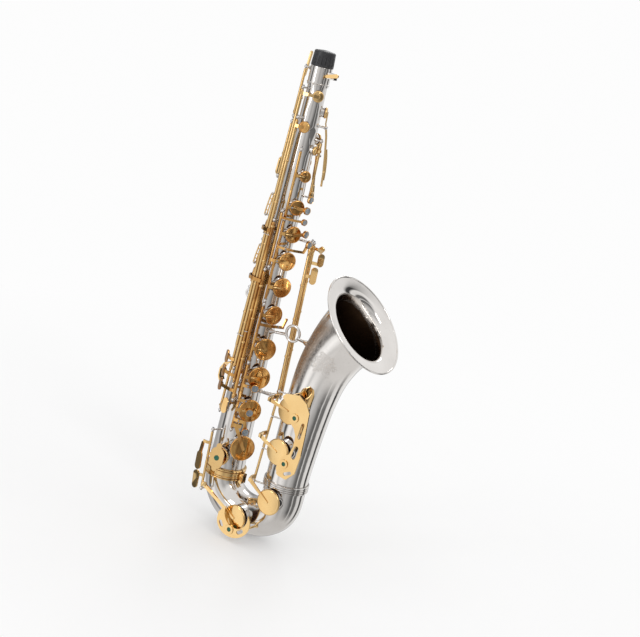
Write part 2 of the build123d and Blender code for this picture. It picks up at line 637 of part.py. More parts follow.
def bow_stations():
    """Centre, direction and radius along the bow: a half ellipse, then a straight rise."""
    half_span = BOW_SPAN / 2
    growth = BELL_R - BODY_R_LOW
    stations = []
    for step in range(11):
        turn = math.pi * step / 10
        centre = Vector(half_span * (1 - math.cos(turn)), 0, BOW_Z - BOW_DEPTH * math.sin(turn))
        along = Vector(half_span * math.sin(turn), 0, -BOW_DEPTH * math.cos(turn)).normalized()
        stations.append((centre, along, BODY_R_LOW + growth * BOW_ARC_SHARE * step / 10))
    for rise in (0.5, 1.0):
        share = BOW_ARC_SHARE + (1 - BOW_ARC_SHARE) * rise
        centre = Vector(BOW_SPAN, 0, BOW_Z + (BELL_Z - BOW_Z) * rise)
        stations.append((centre, Z_DIR, BODY_R_LOW + growth * share))
    return stations


def bell_stations():
    stations = []
    for x, z, radius, lean in BELL_SECTIONS:
        tilt = math.radians(lean)
        stations.append((Vector(x, 0, z), Vector(math.sin(tilt), 0, math.cos(tilt)), radius))
    return stations


def tube_loft(stations, offset=0):
    sections = [Plane(origin=centre, x_dir=Y_DIR, z_dir=along) * Circle(radius + offset)
                for centre, along, radius in stations]
    return loft([section.face() for section in sections])


# Solid envelopes of the three tubes, also used to fit other pieces to their surfaces
BODY_SOLID = body_cone(TAPER_LOW - 2, TUBE_TOP + 22)
BOW_SOLID = tube_loft(bow_stations())
BELL_SOLID = tube_loft(bell_stations())


def body_tube():
    chimneys, bores = [], []
    for hole in HOLES.values():
        plane = hole_plane(hole)
        outer_r = hole.bore_r + 1.3
        # how far the chimney must reach down to meet the curved wall all round
        sag = outer_r * outer_r / (2 * body_radius(hole.z)) + 1.6
        chimneys.append(plane * (Pos(0, 0, (hole.height - sag) / 2)
                                 * Cylinder(outer_r, hole.height + sag)))
        bores.append(plane * Cylinder(hole.bore_r, 2 * (hole.height + sag + 2)))
    outer = body_cone(TAPER_LOW, TUBE_TOP).fuse(*chimneys)
    return outer.cut(body_cone(TAPER_LOW - 1, TUBE_TOP + 1, -WALL), *bores)


def big_chimneys(names, depth):
    """Solid chimneys and their longer bores for tone holes on the bow or bell."""
    chimneys, bores = [], []
    for name in names:
        hole = BIG_HOLES[name]
        plane = big_hole_plane(hole)
        chimneys.append(plane * (Pos(0, 0, -depth / 2) * Cylinder(hole.bore_r + 1.4, depth)))
        bores.append(plane * (Pos(0, 0, -depth / 2 - 3) * Cylinder(hole.bore_r, depth + 18)))
    return chimneys, bores


def bow():
    inner = tube_loft(bow_stations(), -WALL)
    chimneys, bores = big_chimneys(("low_c", "low_cs"), 22)
    shape = BOW_SOLID.cut(inner)
    for chimney in chimneys:
        shape = shape.fuse(chimney.cut(inner))
    for bore in bores:
        shape = shape.cut(bore)
    return shape


def flare():
    """Turned lip of the bell, one wall thick, with a rolled bead at the rim."""
    tilt = math.radians(RIM_LEAN)
    axis = Vector(math.sin(tilt), 0, math.cos(tilt))
    outer = [(radius, -depth) for depth, radius in FLARE_POINTS]
    inner = []
    for i, (radius, height) in enumerate(outer):
        before, after = outer[max(i - 1, 0)], outer[min(i + 1, len(outer) - 1)]
        dr, dh = after[0] - before[0], after[1] - before[1]
        length = math.hypot(dr, dh)
        inner.append((radius - WALL * dh / length, height + WALL * dr / length))
    # square the small end to meet the bell tube
    inner[0] = (outer[0][0] - WALL, outer[0][1])
    face = make_face(Curve() + [Spline(*outer), Line(outer[-1], inner[-1]),
                                Spline(*inner[::-1]), Line(inner[0], outer[0])])
    plane = Plane(origin=RIM_CENTRE, x_dir=Y_DIR, z_dir=Y_DIR.cross(axis))
    ring = revolve(plane * face, Axis(RIM_CENTRE, axis), 360)
    bead = Plane(origin=RIM_CENTRE + axis * 0.1, z_dir=axis) * Torus(RIM_R - 0.9, 1.5)
    return ring.fuse(bead)


def bell():
    inner = tube_loft(bell_stations(), -WALL)
    chimneys, bores = big_chimneys(("low_bb", "low_b"), 24)
    return BELL_SOLID.fuse(*chimneys).cut(inner, *bores).fuse(flare())


# ---------------------------------------------------------------- neck end
CLAMP_X, CLAMP_Z = 23.6, 719


def neck_receiver():
    """Collar round the tube end with the socket above it and a pair of clamp lugs."""
    shape = Pos(0, 0, 714) * Cylinder(RECEIVER_R, 28)
    shape += Pos(0, 0, 703.5) * Torus(RECEIVER_R, 1.0)
    shape += Pos(0, 0, 729.0) * Cylinder(15.3, 8.0)
    for side in (-1, 1):
        shape += Pos(21.2, side * 2.7, 718.5) * Box(12.8, 3.4, 9.0)
    shape -= Pos(0, 0, TUBE_TOP + 15) * Cylinder(SOCKET_R, 30)
    shape -= body_cone(690, TUBE_TOP)
    shape -= Pos(20, 0, 723) * Box(20, 2.0, 24)
    shape -= bar(Vector(CLAMP_X, -7, CLAMP_Z), Vector(CLAMP_X, 7, CLAMP_Z), 1.7)
    return shape


def neck_screw():
    """Clamp screw with a collar and a flat thumb piece on the right side."""
    shape = bar(Vector(CLAMP_X, -7.4, CLAMP_Z), Vector(CLAMP_X, 6.4, CLAMP_Z), 1.62)
    shape += bar(Vector(CLAMP_X, -9.4, CLAMP_Z), Vector(CLAMP_X, -5.4, CLAMP_Z), 2.6)
    shape += plate(Vector(CLAMP_X - 4.0, -10.6, CLAMP_Z - 1.5),
                   Vector(CLAMP_X + 12.0, -10.6, CLAMP_Z + 2.5), 2.4, 3.0, 2.4, Y_DIR)
    return shape


def end_plug():
    """Cap over the lip of the receiver, with 18 grooves round its side."""
    plug = turned(make_face(Curve() + [
        Line((0, 733.4), (15.4, 733.4)), Line((15.4, 733.4), (15.4, 728.6)),
        Line((15.4, 728.6), (17.0, 728.6)), Line((17.0, 728.6), (17.0, 731.0)),
        Line((17.0, 731.0), (16.1, 748.5)),
        ThreePointArc((16.1, 748.5), (15.3, 750.6), (13.0, 751.4)),
        Line((13.0, 751.4), (4.2, 752.6)), Line((4.2, 752.6), (3.4, 750.2)),
        Line((3.4, 750.2), (0, 750.2)), Line((0, 750.2), (0, 733.4))]))
    grooves = []
    for i in range(18):
        turn = math.radians(i * 20)
        grooves.append(Pos(17.5 * math.cos(turn), 17.5 * math.sin(turn), 738.0)
                       * Cylinder(1.75, 12.0))
    return plug.cut(*grooves)


# ---------------------------------------------------------------- bands and fittings
BAND_SCREW_X, BAND_SCREW_HEIGHTS = 35.6, (75.5, 84.5)


def ridges(heights, base_r, crest_r, foot_half, crest_half):
    """Profile points of ridges centred on the given heights."""
    points = []
    for z in heights:
        points += [(base_r, z - foot_half), (crest_r, z - crest_half),
                   (crest_r, z + crest_half), (base_r, z + foot_half)]
    return points


def band_bar(low_y, high_y, radius, z):
    return bar(Vector(BAND_SCREW_X, low_y, z), Vector(BAND_SCREW_X, high_y, z), radius)


def body_bow_band():
    """Ridged band between body and bow, split at the front between two lugs."""
    profile = [(29.8, 75.2), (31.2, 75.2)]
    profile += ridges((76.8, 79.8, 87.4, 90.6), 31.2, 32.4, 1.3, 0.8)
    profile += [(31.2, 92.4), (29.0, 92.4), (29.4, 76.4), (29.8, 76.3)]
    shape = turned(make_face(Polyline(*profile, close=True)))
    for side in (-1, 1):
        shape += Pos(34.5, side * 3.0, 81) * Box(8.0, 3.4, 15.0)
    shape -= Pos(36, 0, 80) * Box(20, 2.2, 30)
    for z in BAND_SCREW_HEIGHTS:
        shape -= band_bar(-8, 8, 1.62, z)
    return shape


def band_screws():
    shanks = [band_bar(-4.75, 5.6, 1.6, z) for z in BAND_SCREW_HEIGHTS]
    heads = [band_bar(-6.4, -4.75, 2.9, z) for z in BAND_SCREW_HEIGHTS]
    return fuse_all(shanks + heads)


def bell_ring():
    """Ridged ring at the foot of the bell."""
    profile = [(33.95, 100.0), (34.6, 100.0)]
    profile += ridges((101.3, 104.4, 107.5, 110.6), 34.6, 35.5, 1.2, 0.7)
    profile += [(34.6, 112.2), (33.4, 112.2), (33.4, 104.6), (33.95, 104.2)]
    return Pos(BOW_SPAN, 0, 0) * turned(make_face(Polyline(*profile, close=True)))


def bell_brace():
    """Round eye between body and bell, on an arm to each with a conical foot."""
    shape = (bar(Vector(20, 0, 322), Vector(50.5, 0, 327.0), 2.3)
             + bar(Vector(72.5, 0, 327.5), Vector(112, 0, 324), 2.5))
    shape += cone_bar(Vector(21.5, 0, 322.3), Vector(27.5, 0, 323.3), 6.6, 2.3)
    shape += cone_bar(Vector(84.0, 0, 326.5), Vector(101.0, 0, 325.0), 2.7, 9.0)
    shape += Plane(origin=Vector(61.5, 0, 332.0), z_dir=Y_DIR) * Torus(12.0, 2.2)
    shape -= BODY_SOLID
    shape -= BELL_SOLID
    return shape


def strap_ring():
    x, z = -32.6, 366.0
    shape = bar(Vector(x, -1.6, z), Vector(x, 1.6, z), 7.2)
    shape += Pos(-23.6, 0, z) * Box(6, 3.2, 7)
    shape += Pos(-22.6, 0, z) * Box(2.6, 9.0, 22)
    shape -= bar(Vector(x, -6, z), Vector(x, 6, z), 4.6)
    shape -= BODY_SOLID
    return shape


def thumb_hook():
    side_view = [(-24.5, 252), (-32, 252), (-44, 247), (-50, 236), (-50, 224), (-46.5, 217)]
    shape = strip([Vector(x, 0, z) for x, z in side_view], 13, 2.4, Y_DIR)
    shape += Pos(-26.2, 0, 252) * Box(3.4, 15, 22)
    shape -= BODY_SOLID
    return shape


def thumb_rest():
    shape = bar(Vector(-12, 0, 541), Vector(-21.4, 0, 541), 8.4)
    shape = fillet(shape.edges().sort_by(Axis.X)[0], 1.6)
    shape -= BODY_SOLID
    return shape


# ---------------------------------------------------------------- guards and felts
LOW_C_GUARD_Y, BELL_GUARD_Y = -53.6, -57.4      # left faces of the guard plates
LOW_C_FELT = (68.6, 19.6)                       # x, z
BELL_FELTS = ((136, 231), (137, 158))


def side_bar(spot, start_y, end_y, radius):
    """Bar along Y at an (x, z) spot."""
    x, z = spot
    return bar(Vector(x, start_y, z), Vector(x, end_y, z), radius)


def guard_eb():
    angle, centre_z = HOLES["eb"].angle, HOLES["eb"].z
    low, high, height = 95.6, 132.4, 17.8
    shape = plate(on_body(angle, low, height), on_body(angle, high, height),
                  4.6, 4.6, 2.0, normal(angle))
    shape += plate(on_body(angle, centre_z - 6, height), on_body(angle, centre_z + 6, height),
                   11.5, 11.5, 2.0, normal(angle))
    shape -= bar(on_body(angle, centre_z, 10), on_body(angle, centre_z, 24), 4.2)
    for z in (low, high):
        shape += bar(on_body(angle, z, -ROOT_DEPTH), on_body(angle, z, height - 0.2), 1.7)
    shape -= BODY_SOLID
    return shape


def guard_low_c():
    """Oval plate with a round bite, a felt seat, two slots and three legs to the bow."""
    face_y = LOW_C_GUARD_Y
    shape = slab(face_y, Pos(72, 34) * Rot(0, 0, 20) * Ellipse(31.0, 25.5), 2.2)
    shape -= slab(face_y + 1, Pos(74.5, 46.5) * Circle(22.0), 5)
    shape += slab(face_y, Pos(*LOW_C_FELT) * Circle(7.2), 3.6)
    shape -= side_bar(LOW_C_FELT, face_y + 6, face_y - 9, 3.6)
    shape -= slab(face_y + 1, Pos(51.0, 22.5) * Rot(0, 0, -52) * SlotOverall(11, 5.6), 8)
    shape -= slab(face_y + 1, Pos(87.5, 23.5) * Rot(0, 0, 38) * SlotOverall(13, 6.4), 8)
    for spot, has_cone in (((42.8, 37.0), True), ((68.0, 11.8), False), ((98.5, 33.0), True)):
        shape += side_bar(spot, -14, face_y - 1.2, 1.8)
        if has_cone:
            x, z = spot
            shape += cone_bar(Vector(x, -24, z), Vector(x, -34.5, z), 4.4, 2.0)
    shape -= BOW_SOLID
    return shape


# outline of the bell guard: x, z
BELL_GUARD_OUTLINE = [
    (106, 254), (112, 261), (134, 266), (150, 258), (158, 246), (160, 212), (161, 180),
    (158, 150), (146, 136), (130, 137), (125, 146), (126, 160), (132, 169), (141, 175),
    (145, 190), (144, 206), (138, 216), (128, 223), (126, 236), (118, 246)]


def guard_bell():
    """Plate with two felt seats, three slots, two straight legs and three slanting ones."""
    face_y = BELL_GUARD_Y
    outline = make_face(Polyline(*BELL_GUARD_OUTLINE, close=True))
    outline = fillet(outline.vertices(), 3.0)
    shape = slab(face_y, outline, 2.2)
    for spot in BELL_FELTS:
        shape += slab(face_y, Pos(*spot) * Circle(6.6), 3.8)
        shape -= side_bar(spot, face_y + 6, face_y - 9, 3.4)
    # slots: x, z, turn, length, width
    for x, z, turn, length, width in ((151.5, 216, 86, 26, 5.5), (150, 181, 82, 22, 8),
                                      (146, 146, 30, 15, 5)):
        shape -= slab(face_y + 2, Pos(x, z) * Rot(0, 0, turn) * SlotOverall(length, width), 8)
    for spot in ((128.5, 139.6), (118, 259.5)):
        shape += side_bar(spot, -4, face_y - 1.0, 2.0)
    slant = Vector(-0.523, 0.853, 0) * 40
    for x, z in ((145.5, 255), (151.5, 200), (152.5, 153.0)):
        top = Vector(x, face_y - 1.0, z)
        shape += bar(top, top + slant, 2.0)
    shape -= BELL_SOLID
    return shape


def bumper_felts():
    angle, z = HOLES["eb"].angle, HOLES["eb"].z
    felts = [bar(on_body(angle, z, 16.4), on_body(angle, z, 19.4), 4.15),
             side_bar(LOW_C_FELT, LOW_C_GUARD_Y + 1.4, LOW_C_GUARD_Y - 3.0, 3.55)]
    felts += [side_bar(spot, BELL_GUARD_Y + 1.6, BELL_GUARD_Y - 3.0, 3.35)
              for spot in BELL_FELTS]
    return fuse_all(felts)


def seated_posts(posts, tube):
    """Cut the posts to sit on the tube, keeping the largest remainder of each."""
    seated = []
    for post in posts:
        seated += post.cut(tube).solids().sort_by(SortBy.VOLUME)[-1:]
    return Compound(seated)


# ---------------------------------------------------------------- build and export
for build_keys in (right_hand_stack, left_hand_stack, bis_key, front_f_key, side_keys,
                   high_fs_key, palm_keys, octave_key, octave_neck_key, table_keys,
                   bell_keys, low_eb_and_c_keys):
    build_keys()

for build_piece in (body_tube, bow, bell, neck_receiver, neck_screw, end_plug, body_bow_band,
                    band_screws, bell_ring, bell_brace, strap_ring, thumb_hook, thumb_rest,
                    guard_eb, guard_low_c, guard_bell, bumper_felts):
    PIECES[build_piece.__name__] = build_piece()

for tube_name, tube_solid in (("body", BODY_SOLID), ("bow", BOW_SOLID), ("bell", BELL_SOLID)):
    PIECES["posts_" + tube_name] = seated_posts(POSTS[tube_name], tube_solid)
PIECES["hinge_rods"] = Compound([rod.solid() for rod in RODS])

os.makedirs("parts", exist_ok=True)
for piece_name, piece in PIECES.items():
    export_step(Pos(0, 0, -ORIGIN_Z) * piece, "parts/%s.step" % piece_name)
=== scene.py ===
# A saxophone standing upright in a pale studio.
# The body tube's axis is Z and the bell opens on the +X side. Lengths are in mm above the
# foot of the bow unless marked as metres; angles round the tube run from +X towards -Y.
import bpy
import bmesh
import json
import math
import random
from mathutils import Vector, Matrix

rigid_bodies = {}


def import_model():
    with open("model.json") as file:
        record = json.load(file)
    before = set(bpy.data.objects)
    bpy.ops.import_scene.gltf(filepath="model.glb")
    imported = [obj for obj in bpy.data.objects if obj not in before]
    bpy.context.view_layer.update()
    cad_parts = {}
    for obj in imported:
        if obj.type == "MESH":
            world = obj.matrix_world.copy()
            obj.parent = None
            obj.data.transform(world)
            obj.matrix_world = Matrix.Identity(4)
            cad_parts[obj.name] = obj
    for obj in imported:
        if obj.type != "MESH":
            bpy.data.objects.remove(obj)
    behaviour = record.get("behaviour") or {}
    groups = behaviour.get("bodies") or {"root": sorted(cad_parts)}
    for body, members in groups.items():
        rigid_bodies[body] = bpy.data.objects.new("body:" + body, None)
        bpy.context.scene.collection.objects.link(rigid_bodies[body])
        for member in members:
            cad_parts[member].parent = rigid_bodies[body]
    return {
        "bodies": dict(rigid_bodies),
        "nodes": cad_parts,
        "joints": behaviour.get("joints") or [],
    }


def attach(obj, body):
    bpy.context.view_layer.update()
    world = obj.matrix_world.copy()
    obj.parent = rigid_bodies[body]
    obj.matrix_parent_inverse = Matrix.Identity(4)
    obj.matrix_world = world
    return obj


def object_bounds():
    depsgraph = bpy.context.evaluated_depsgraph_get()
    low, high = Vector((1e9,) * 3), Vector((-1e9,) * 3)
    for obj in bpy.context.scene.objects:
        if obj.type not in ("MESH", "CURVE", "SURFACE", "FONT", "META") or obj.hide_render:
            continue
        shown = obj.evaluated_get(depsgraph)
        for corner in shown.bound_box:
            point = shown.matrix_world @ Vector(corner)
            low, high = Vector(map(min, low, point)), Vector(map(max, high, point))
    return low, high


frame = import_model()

random.seed(7)
START_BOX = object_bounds()
FLOOR_Z = START_BOX[0][2]           # metres
NODES = frame["nodes"]
BODIES = frame["bodies"]
JOINTS = {joint["child"]: joint for joint in frame["joints"]}

MM = 0.001
CLAMP_SCREW_Z = 719.0
# the frame's origin sits this far above the foot of the bow
ORIGIN_Z = CLAMP_SCREW_Z - 1000.0 * JOINTS["clamp_screw"]["pos_m"][2]
TO_FRAME = Vector((0, 0, -ORIGIN_Z))

# ---------------------------------------------------------------- body tube
RADIUS_LOW, RADIUS_TOP = 29.3, 13.9
TUBE_LOW, TUBE_TOP = 76.0, 726.0
TAPER = (RADIUS_LOW - RADIUS_TOP) / (TUBE_TOP - TUBE_LOW)


def tube_radius(z):
    return RADIUS_LOW - TAPER * (z - TUBE_LOW)


def on_tube(angle, z, height=0.0):
    """point at a height over the tube's surface"""
    turn = math.radians(angle)
    radius = tube_radius(z) + height
    return Vector((radius * math.cos(turn), -radius * math.sin(turn), z))


def normal_at(angle):
    turn = math.radians(angle)
    return Vector((math.cos(turn), -math.sin(turn), TAPER)).normalized()


def angle_of(point):
    return math.degrees(math.atan2(-point.y, point.x))


def outward(point):
    return Vector((point.x, point.y, 0)).normalized()


# ---------------------------------------------------------------- key stations
# key: angle, z, cup radius, hole height over the tube
SIDE_CUPS = {
    "high_fs": (44, 686, 8.6, 3.4), "side_e": (70, 638, 8.6, 3.4),
    "side_c": (148, 477, 11.0, 3.6), "side_bb": (148, 400, 12.0, 3.8),
    "palm_f": (-31, 664, 8.4, 3.4), "palm_eb": (-66, 622, 8.8, 3.4),
    "palm_d": (-98, 584, 9.2, 3.4), "front_f": (-4, 607, 6.6, 3.2),
    "octave": (186, 590, 4.6, 4.2)}
UPPER_CUPS = {
    "c": (23, 567, 9.0, 3.2), "b": (28, 519, 11.8, 3.4),
    "a": (20, 478, 13.0, 3.6), "bis": (19, 436, 14.4, 3.6)}
LOWER_CUPS = {
    "d": (28, 134, 20.0, 4.6), "e": (31, 196, 18.0, 4.4), "f": (26, 250, 17.8, 4.2),
    "fs": (27, 296, 17.3, 4.0), "gs": (21, 350, 15.0, 3.8), "g": (17, 395, 15.5, 3.8)}
STACK_CUPS = {**LOWER_CUPS, **dict(reversed(list(UPPER_CUPS.items())))}
OPEN_AT_REST = {"c", "b", "a", "bis", "g", "d", "e", "f", "fs"}
CUP_SHELL_LIFT = 1.46               # a cup's shell starts this far above its hole height


def at_rest(key):
    """matrix from a key's closed pose to its resting pose, or None if it rests closed"""
    if key not in OPEN_AT_REST:
        return None
    joint = JOINTS["key_" + key]
    pivot = Vector(joint["pos_m"]) * 1000.0 - TO_FRAME
    angle = -math.radians(joint["range_deg"][1] + 0.02)
    swing = Matrix.Rotation(angle, 4, Vector(joint["axis"]))
    return Matrix.Translation(pivot) @ swing @ Matrix.Translation(-pivot)


class Rod:
    """straight hinge line, addressed by z"""

    def __init__(self, start, end):
        self.start, self.end = Vector(start), Vector(end)
        self.along = (self.end - self.start).normalized()

    def at(self, z):
        share = (z - self.start.z) / (self.end.z - self.start.z)
        return self.start + (self.end - self.start) * share


RODS = {
    "lower_stack": Rod(on_tube(66, 162, 11.0), on_tube(60, 366, 10.5)),
    "upper_stack": Rod(on_tube(60, 372, 10.5), on_tube(60, 606, 10.0)),
    "upper_stack_second": Rod(on_tube(71, 424, 10.5), on_tube(71, 511, 10.5)),
    "front_f": Rod(on_tube(-24, 536, 9.5), on_tube(-24, 622, 9.0)),
    "side_bb": Rod(on_tube(79.5, 208, 11.0), on_tube(80.0, 418, 10.5)),
    "side_c": Rod(on_tube(88.8, 232, 11.0), on_tube(89.3, 494, 10.5)),
    "side_e": Rod(on_tube(98.0, 256, 11.0), on_tube(99.5, 650, 10.0)),
    "high_fs": Rod(on_tube(109.5, 184, 11.0), on_tube(112.0, 694, 9.5)),
    "upper_rear": Rod(on_tube(160, 556, 9.5), on_tube(160, 640, 9.0)),
    "top_rear": Rod(on_tube(160, 648.6, 9.0), on_tube(160, 723, 9.6)),
    "bell_side": Rod((70, -22, 96), (76, -22, 246)),
    "low_side": Rod((-6, -46, 56), (-12, -42.5, 152)),
    "table_b": Rod((53.5, 14, 222), (46, 15, 470)),
    "table_bb": Rod((53.5, 22.5, 222), (46, 23, 470)),
    "table_cs": Rod((45.5, 30, 222), (38, 30, 470))}


# ---------------------------------------------------------------- mesh building
SHARP_ANGLE = math.radians(35)      # edges that turn more than this are drawn sharp


def basis(normal, x=None):
    """three square axes, the last one along normal"""
    normal = Vector(normal).normalized()
    if x is None:
        x = Vector((0, 0, 1)) if abs(normal.z) < 0.9 else Vector((1, 0, 0))
    x = (x - normal * x.dot(normal)).normalized()
    return x, normal.cross(x), normal


class Solid:
    """collects several shapes, in mm, into one mesh"""

    def __init__(self):
        self.points, self.faces = [], []

    def lathe(self, profile, origin, axis, segments=40):
        """turns (radius, height) pairs about an axis"""
        x, y, up = basis(axis)
        first, count = len(self.points), len(profile)
        for i in range(segments):
            turn = 2 * math.pi * i / segments
            for radius, height in profile:
                spoke = (x * math.cos(turn) + y * math.sin(turn)) * radius
                self.points.append(Vector(origin) + spoke + up * height)
        for i in range(segments):
            here, there = first + i * count, first + (i + 1) % segments * count
            for j in range(count - 1):
                self.faces.append((here + j, there + j, there + j + 1, here + j + 1))
        return self

    def tube(self, path, radii, segments=10):
        """round bar along a path; radii is one number or one per point"""
        if not isinstance(radii, list):
            radii = [radii] * len(path)
        first, last = len(self.points), len(path) - 1
        x = None
        for i, point in enumerate(path):
            ahead = (path[min(i + 1, last)] - path[max(i - 1, 0)]).normalized()
            if x is None:
                x, y, _ = basis(ahead)
            else:
                x = (x - ahead * x.dot(ahead)).normalized()
                y = ahead.cross(x)
            for k in range(segments):
                turn = 2 * math.pi * k / segments
                spoke = x * math.cos(turn) + y * math.sin(turn)
                self.points.append(point + spoke * radii[i])
        for i in range(last):
            low, high = first + i * segments, first + (i + 1) * segments
            for k in range(segments):
                j = (k + 1) % segments
                self.faces.append((low + k, low + j, high + j, high + k))
        self.faces.append(tuple(first + k for k in range(segments))[::-1])
        self.faces.append(tuple(first + last * segments + k for k in range(segments)))
        return self

    def box(self, centre, axes, halves):
        first = len(self.points)
        (x, y, z), (half_x, half_y, half_z) = axes, halves
        for i in (-1, 1):
            for j in (-1, 1):
                for k in (-1, 1):
                    self.points.append(centre + x * half_x * i + y * half_y * j + z * half_z * k)
        for face in ((0, 1, 3, 2), (4, 6, 7, 5), (0, 4, 5, 1),
                     (2, 3, 7, 6), (0, 2, 6, 4), (1, 5, 7, 3)):
            self.faces.append(tuple(first + i for i in face))

    def make(self, name, material, body, slot=None, turn=None):
        points = self.points if turn is None else [turn @ p for p in self.points]
        mesh = bpy.data.meshes.new(name)
        mesh.from_pydata([tuple((p + TO_FRAME) * MM) for p in points], [], self.faces)
        mesh.update()
        bm = bmesh.new()
        bm.from_mesh(mesh)
        bmesh.ops.remove_doubles(bm, verts=bm.verts, dist=1e-6)
        bmesh.ops.recalc_face_normals(bm, faces=bm.faces)
        for edge in bm.edges:
            if len(edge.link_faces) == 2:
                edge.smooth = edge.calc_face_angle(0) < SHARP_ANGLE
        for face in bm.faces:
            face.smooth = True
        bm.to_mesh(mesh)
        bm.free()
        piece = bpy.data.objects.new(name, mesh)
        bpy.context.scene.collection.objects.link(piece)
        mesh.materials.append(material)
        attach(piece, body)

    def make_on_key(self, part, key, material, slot=None):
        self.make(f"{part}_{key}", material, "key_" + key, slot, at_rest(key))


# ---------------------------------------------------------------- shader trees
class Tree:
    """short calls for adding shader nodes; most return an output socket"""

    def __init__(self, owner):
        owner.use_nodes = True
        self.tree = owner.node_tree
        self.tree.nodes.clear()

    def feed(self, socket, value):
        if isinstance(value, bpy.types.NodeSocket):
            self.tree.links.new(value, socket)
        else:
            socket.default_value = (*value, 1) if socket.type == "RGBA" else value

    def node(self, kind, inputs=None, **settings):
        new = self.tree.nodes.new("ShaderNode" + kind)
        for key, value in settings.items():
            setattr(new, key, value)
        for key, value in (inputs or {}).items():
            self.feed(new.inputs[key], value)
        return new

    def split(self, vector):
        return tuple(self.node("SeparateXYZ", {0: vector}).outputs)

    def math(self, operation, *values):
        return self.node("Math", dict(enumerate(values)), operation=operation).outputs[0]

    def add(self, a, b):
        return self.math("ADD", a, b)

    def mul(self, a, b):
        return self.math("MULTIPLY", a, b)

    def vector(self, operation, *values, output="Vector"):
        inputs = dict(enumerate(values))
        return self.node("VectorMath", inputs, operation=operation).outputs[output]

    def remap(self, value, span, to=(0.0, 1.0)):
        """carries the input range span onto the range to"""
        return self.node("MapRange", {
            "Value": value, "From Min": span[0], "From Max": span[1],
            "To Min": to[0], "To Max": to[1]}).outputs[0]

    def ramp(self, value, stops):
        """stops are (position, grey or colour)"""
        new = self.node("ValToRGB", {0: value})
        elements = new.color_ramp.elements
        while len(elements) < len(stops):
            elements.new(0.5)
        for element, (position, color) in zip(elements, stops):
            element.position = position
            element.color = (*(color if isinstance(color, tuple) else (color,) * 3), 1)
        return new.outputs[0]

    def mix(self, factor, a, b, mode="MIX"):
        inputs = {0: factor, 6: a, 7: b}
        return self.node("Mix", inputs, data_type="RGBA", blend_type=mode).outputs[2]


class Material(Tree):
    def __init__(self, name):
        self.material = bpy.data.materials.new(name)
        super().__init__(self.material)
        self.output = self.node("OutputMaterial")
        self.surface = self.node("BsdfPrincipled")
        self.feed(self.output.inputs[0], self.surface.outputs[0])
        self.place = self.node("TexCoord").outputs["Object"]

    def stretched(self, scale):
        return self.node("Mapping", {0: self.place, "Scale": scale}).outputs[0]

    def noise(self, scale, detail=4.0, rough=0.55, vector=None, distortion=0.0):
        return self.node("TexNoise", {
            "Scale": scale, "Detail": detail, "Roughness": rough, "Distortion": distortion,
            "Vector": vector or self.place}).outputs["Fac"]

    def cells(self, scale, vector=None):
        inputs = {"Scale": scale, "Vector": vector or self.place}
        return self.node("TexVoronoi", inputs).outputs["Distance"]

    def bump(self, height, strength, distance, normal=None):
        inputs = {"Strength": strength, "Distance": distance, "Height": height}
        if normal is not None:
            inputs["Normal"] = normal
        return self.node("Bump", inputs).outputs[0]

    def occlusion(self, reach):
        inputs = {"Distance": reach}
        return self.node("AmbientOcclusion", inputs, samples=6).outputs["AO"]

    def put(self, **values):
        for name, value in values.items():
            self.feed(self.surface.inputs[name.replace("_", " ")], value)

    def current(self, name):
        return self.surface.inputs[name].links[0].from_socket


MIDDLE = (0.3, 0.7)                 # the part of a noise's range that is in common use


# ---------------------------------------------------------------- metals
def metal(name, light, dark, shade_and_spot_color, rough, smudge, scratch, grain_z,
          shade_reach, shade_weight, waviness=0.05, lacquer=0.0):
    """aged metal: mottled colour, painted shade in recesses, scratches drawn out along Z by
    grain_z
    """
    m = Material(name)
    mottle = m.noise(scale=14.0, detail=5.0, rough=0.6)
    color = m.mix(m.remap(mottle, span=MIDDLE), light, dark)
    # painted shade: ambient occlusion darkens the colour towards the dark shade colour in
    # recesses, in patches
    shade = m.remap(m.occlusion(shade_reach), span=(0.15, 0.85), to=(1.0, 0.0))
    patchy = m.remap(m.noise(scale=160.0, detail=3.0), span=MIDDLE, to=(0.75, 1.0))
    shade_and_grime = m.mul(shade, patchy)
    color = m.mix(m.mul(shade_and_grime, shade_weight), color, shade_and_spot_color)
    # small rubbed and spotted places, faint
    spots = m.remap(m.noise(scale=420.0, detail=2.0, rough=0.5), span=(0.66, 0.74))
    color = m.mix(m.mul(spots, 0.14), color, shade_and_spot_color)
    # roughness: fine variation, smudges, then grime where the recesses get painted shade
    polish = m.remap(m.noise(scale=38.0, detail=6.0, rough=0.65), span=MIDDLE, to=rough)
    smudges = m.remap(m.noise(scale=7.0, detail=4.0), span=(0.45, 0.75))
    roughness = m.add(m.add(polish, m.mul(smudges, smudge)), m.mul(shade_and_grime, 0.25))
    fine = m.noise(scale=900.0, detail=2.0, rough=0.5, vector=m.stretched((1, 1, grain_z)))
    wave = m.noise(scale=26.0, detail=2.0, rough=0.4)
    height = m.add(m.mul(fine, scratch), m.mul(wave, waviness))
    m.put(Base_Color=color, Metallic=1.0, Roughness=roughness,
          Normal=m.bump(height, strength=0.35, distance=0.0004))
    if lacquer:
        m.put(Coat_Weight=lacquer, Coat_Roughness=0.05, Coat_IOR=1.5)
    return m


def gold_lacquer():
    return metal(
        "gold_lacquer", light=(0.90, 0.63, 0.29), dark=(0.78, 0.49, 0.19),
        shade_and_spot_color=(0.22, 0.09, 0.025), rough=(0.06, 0.12), smudge=0.05, scratch=0.02,
        grain_z=0.12, shade_reach=0.004, shade_weight=0.75,
        waviness=0.30, lacquer=0.25).material


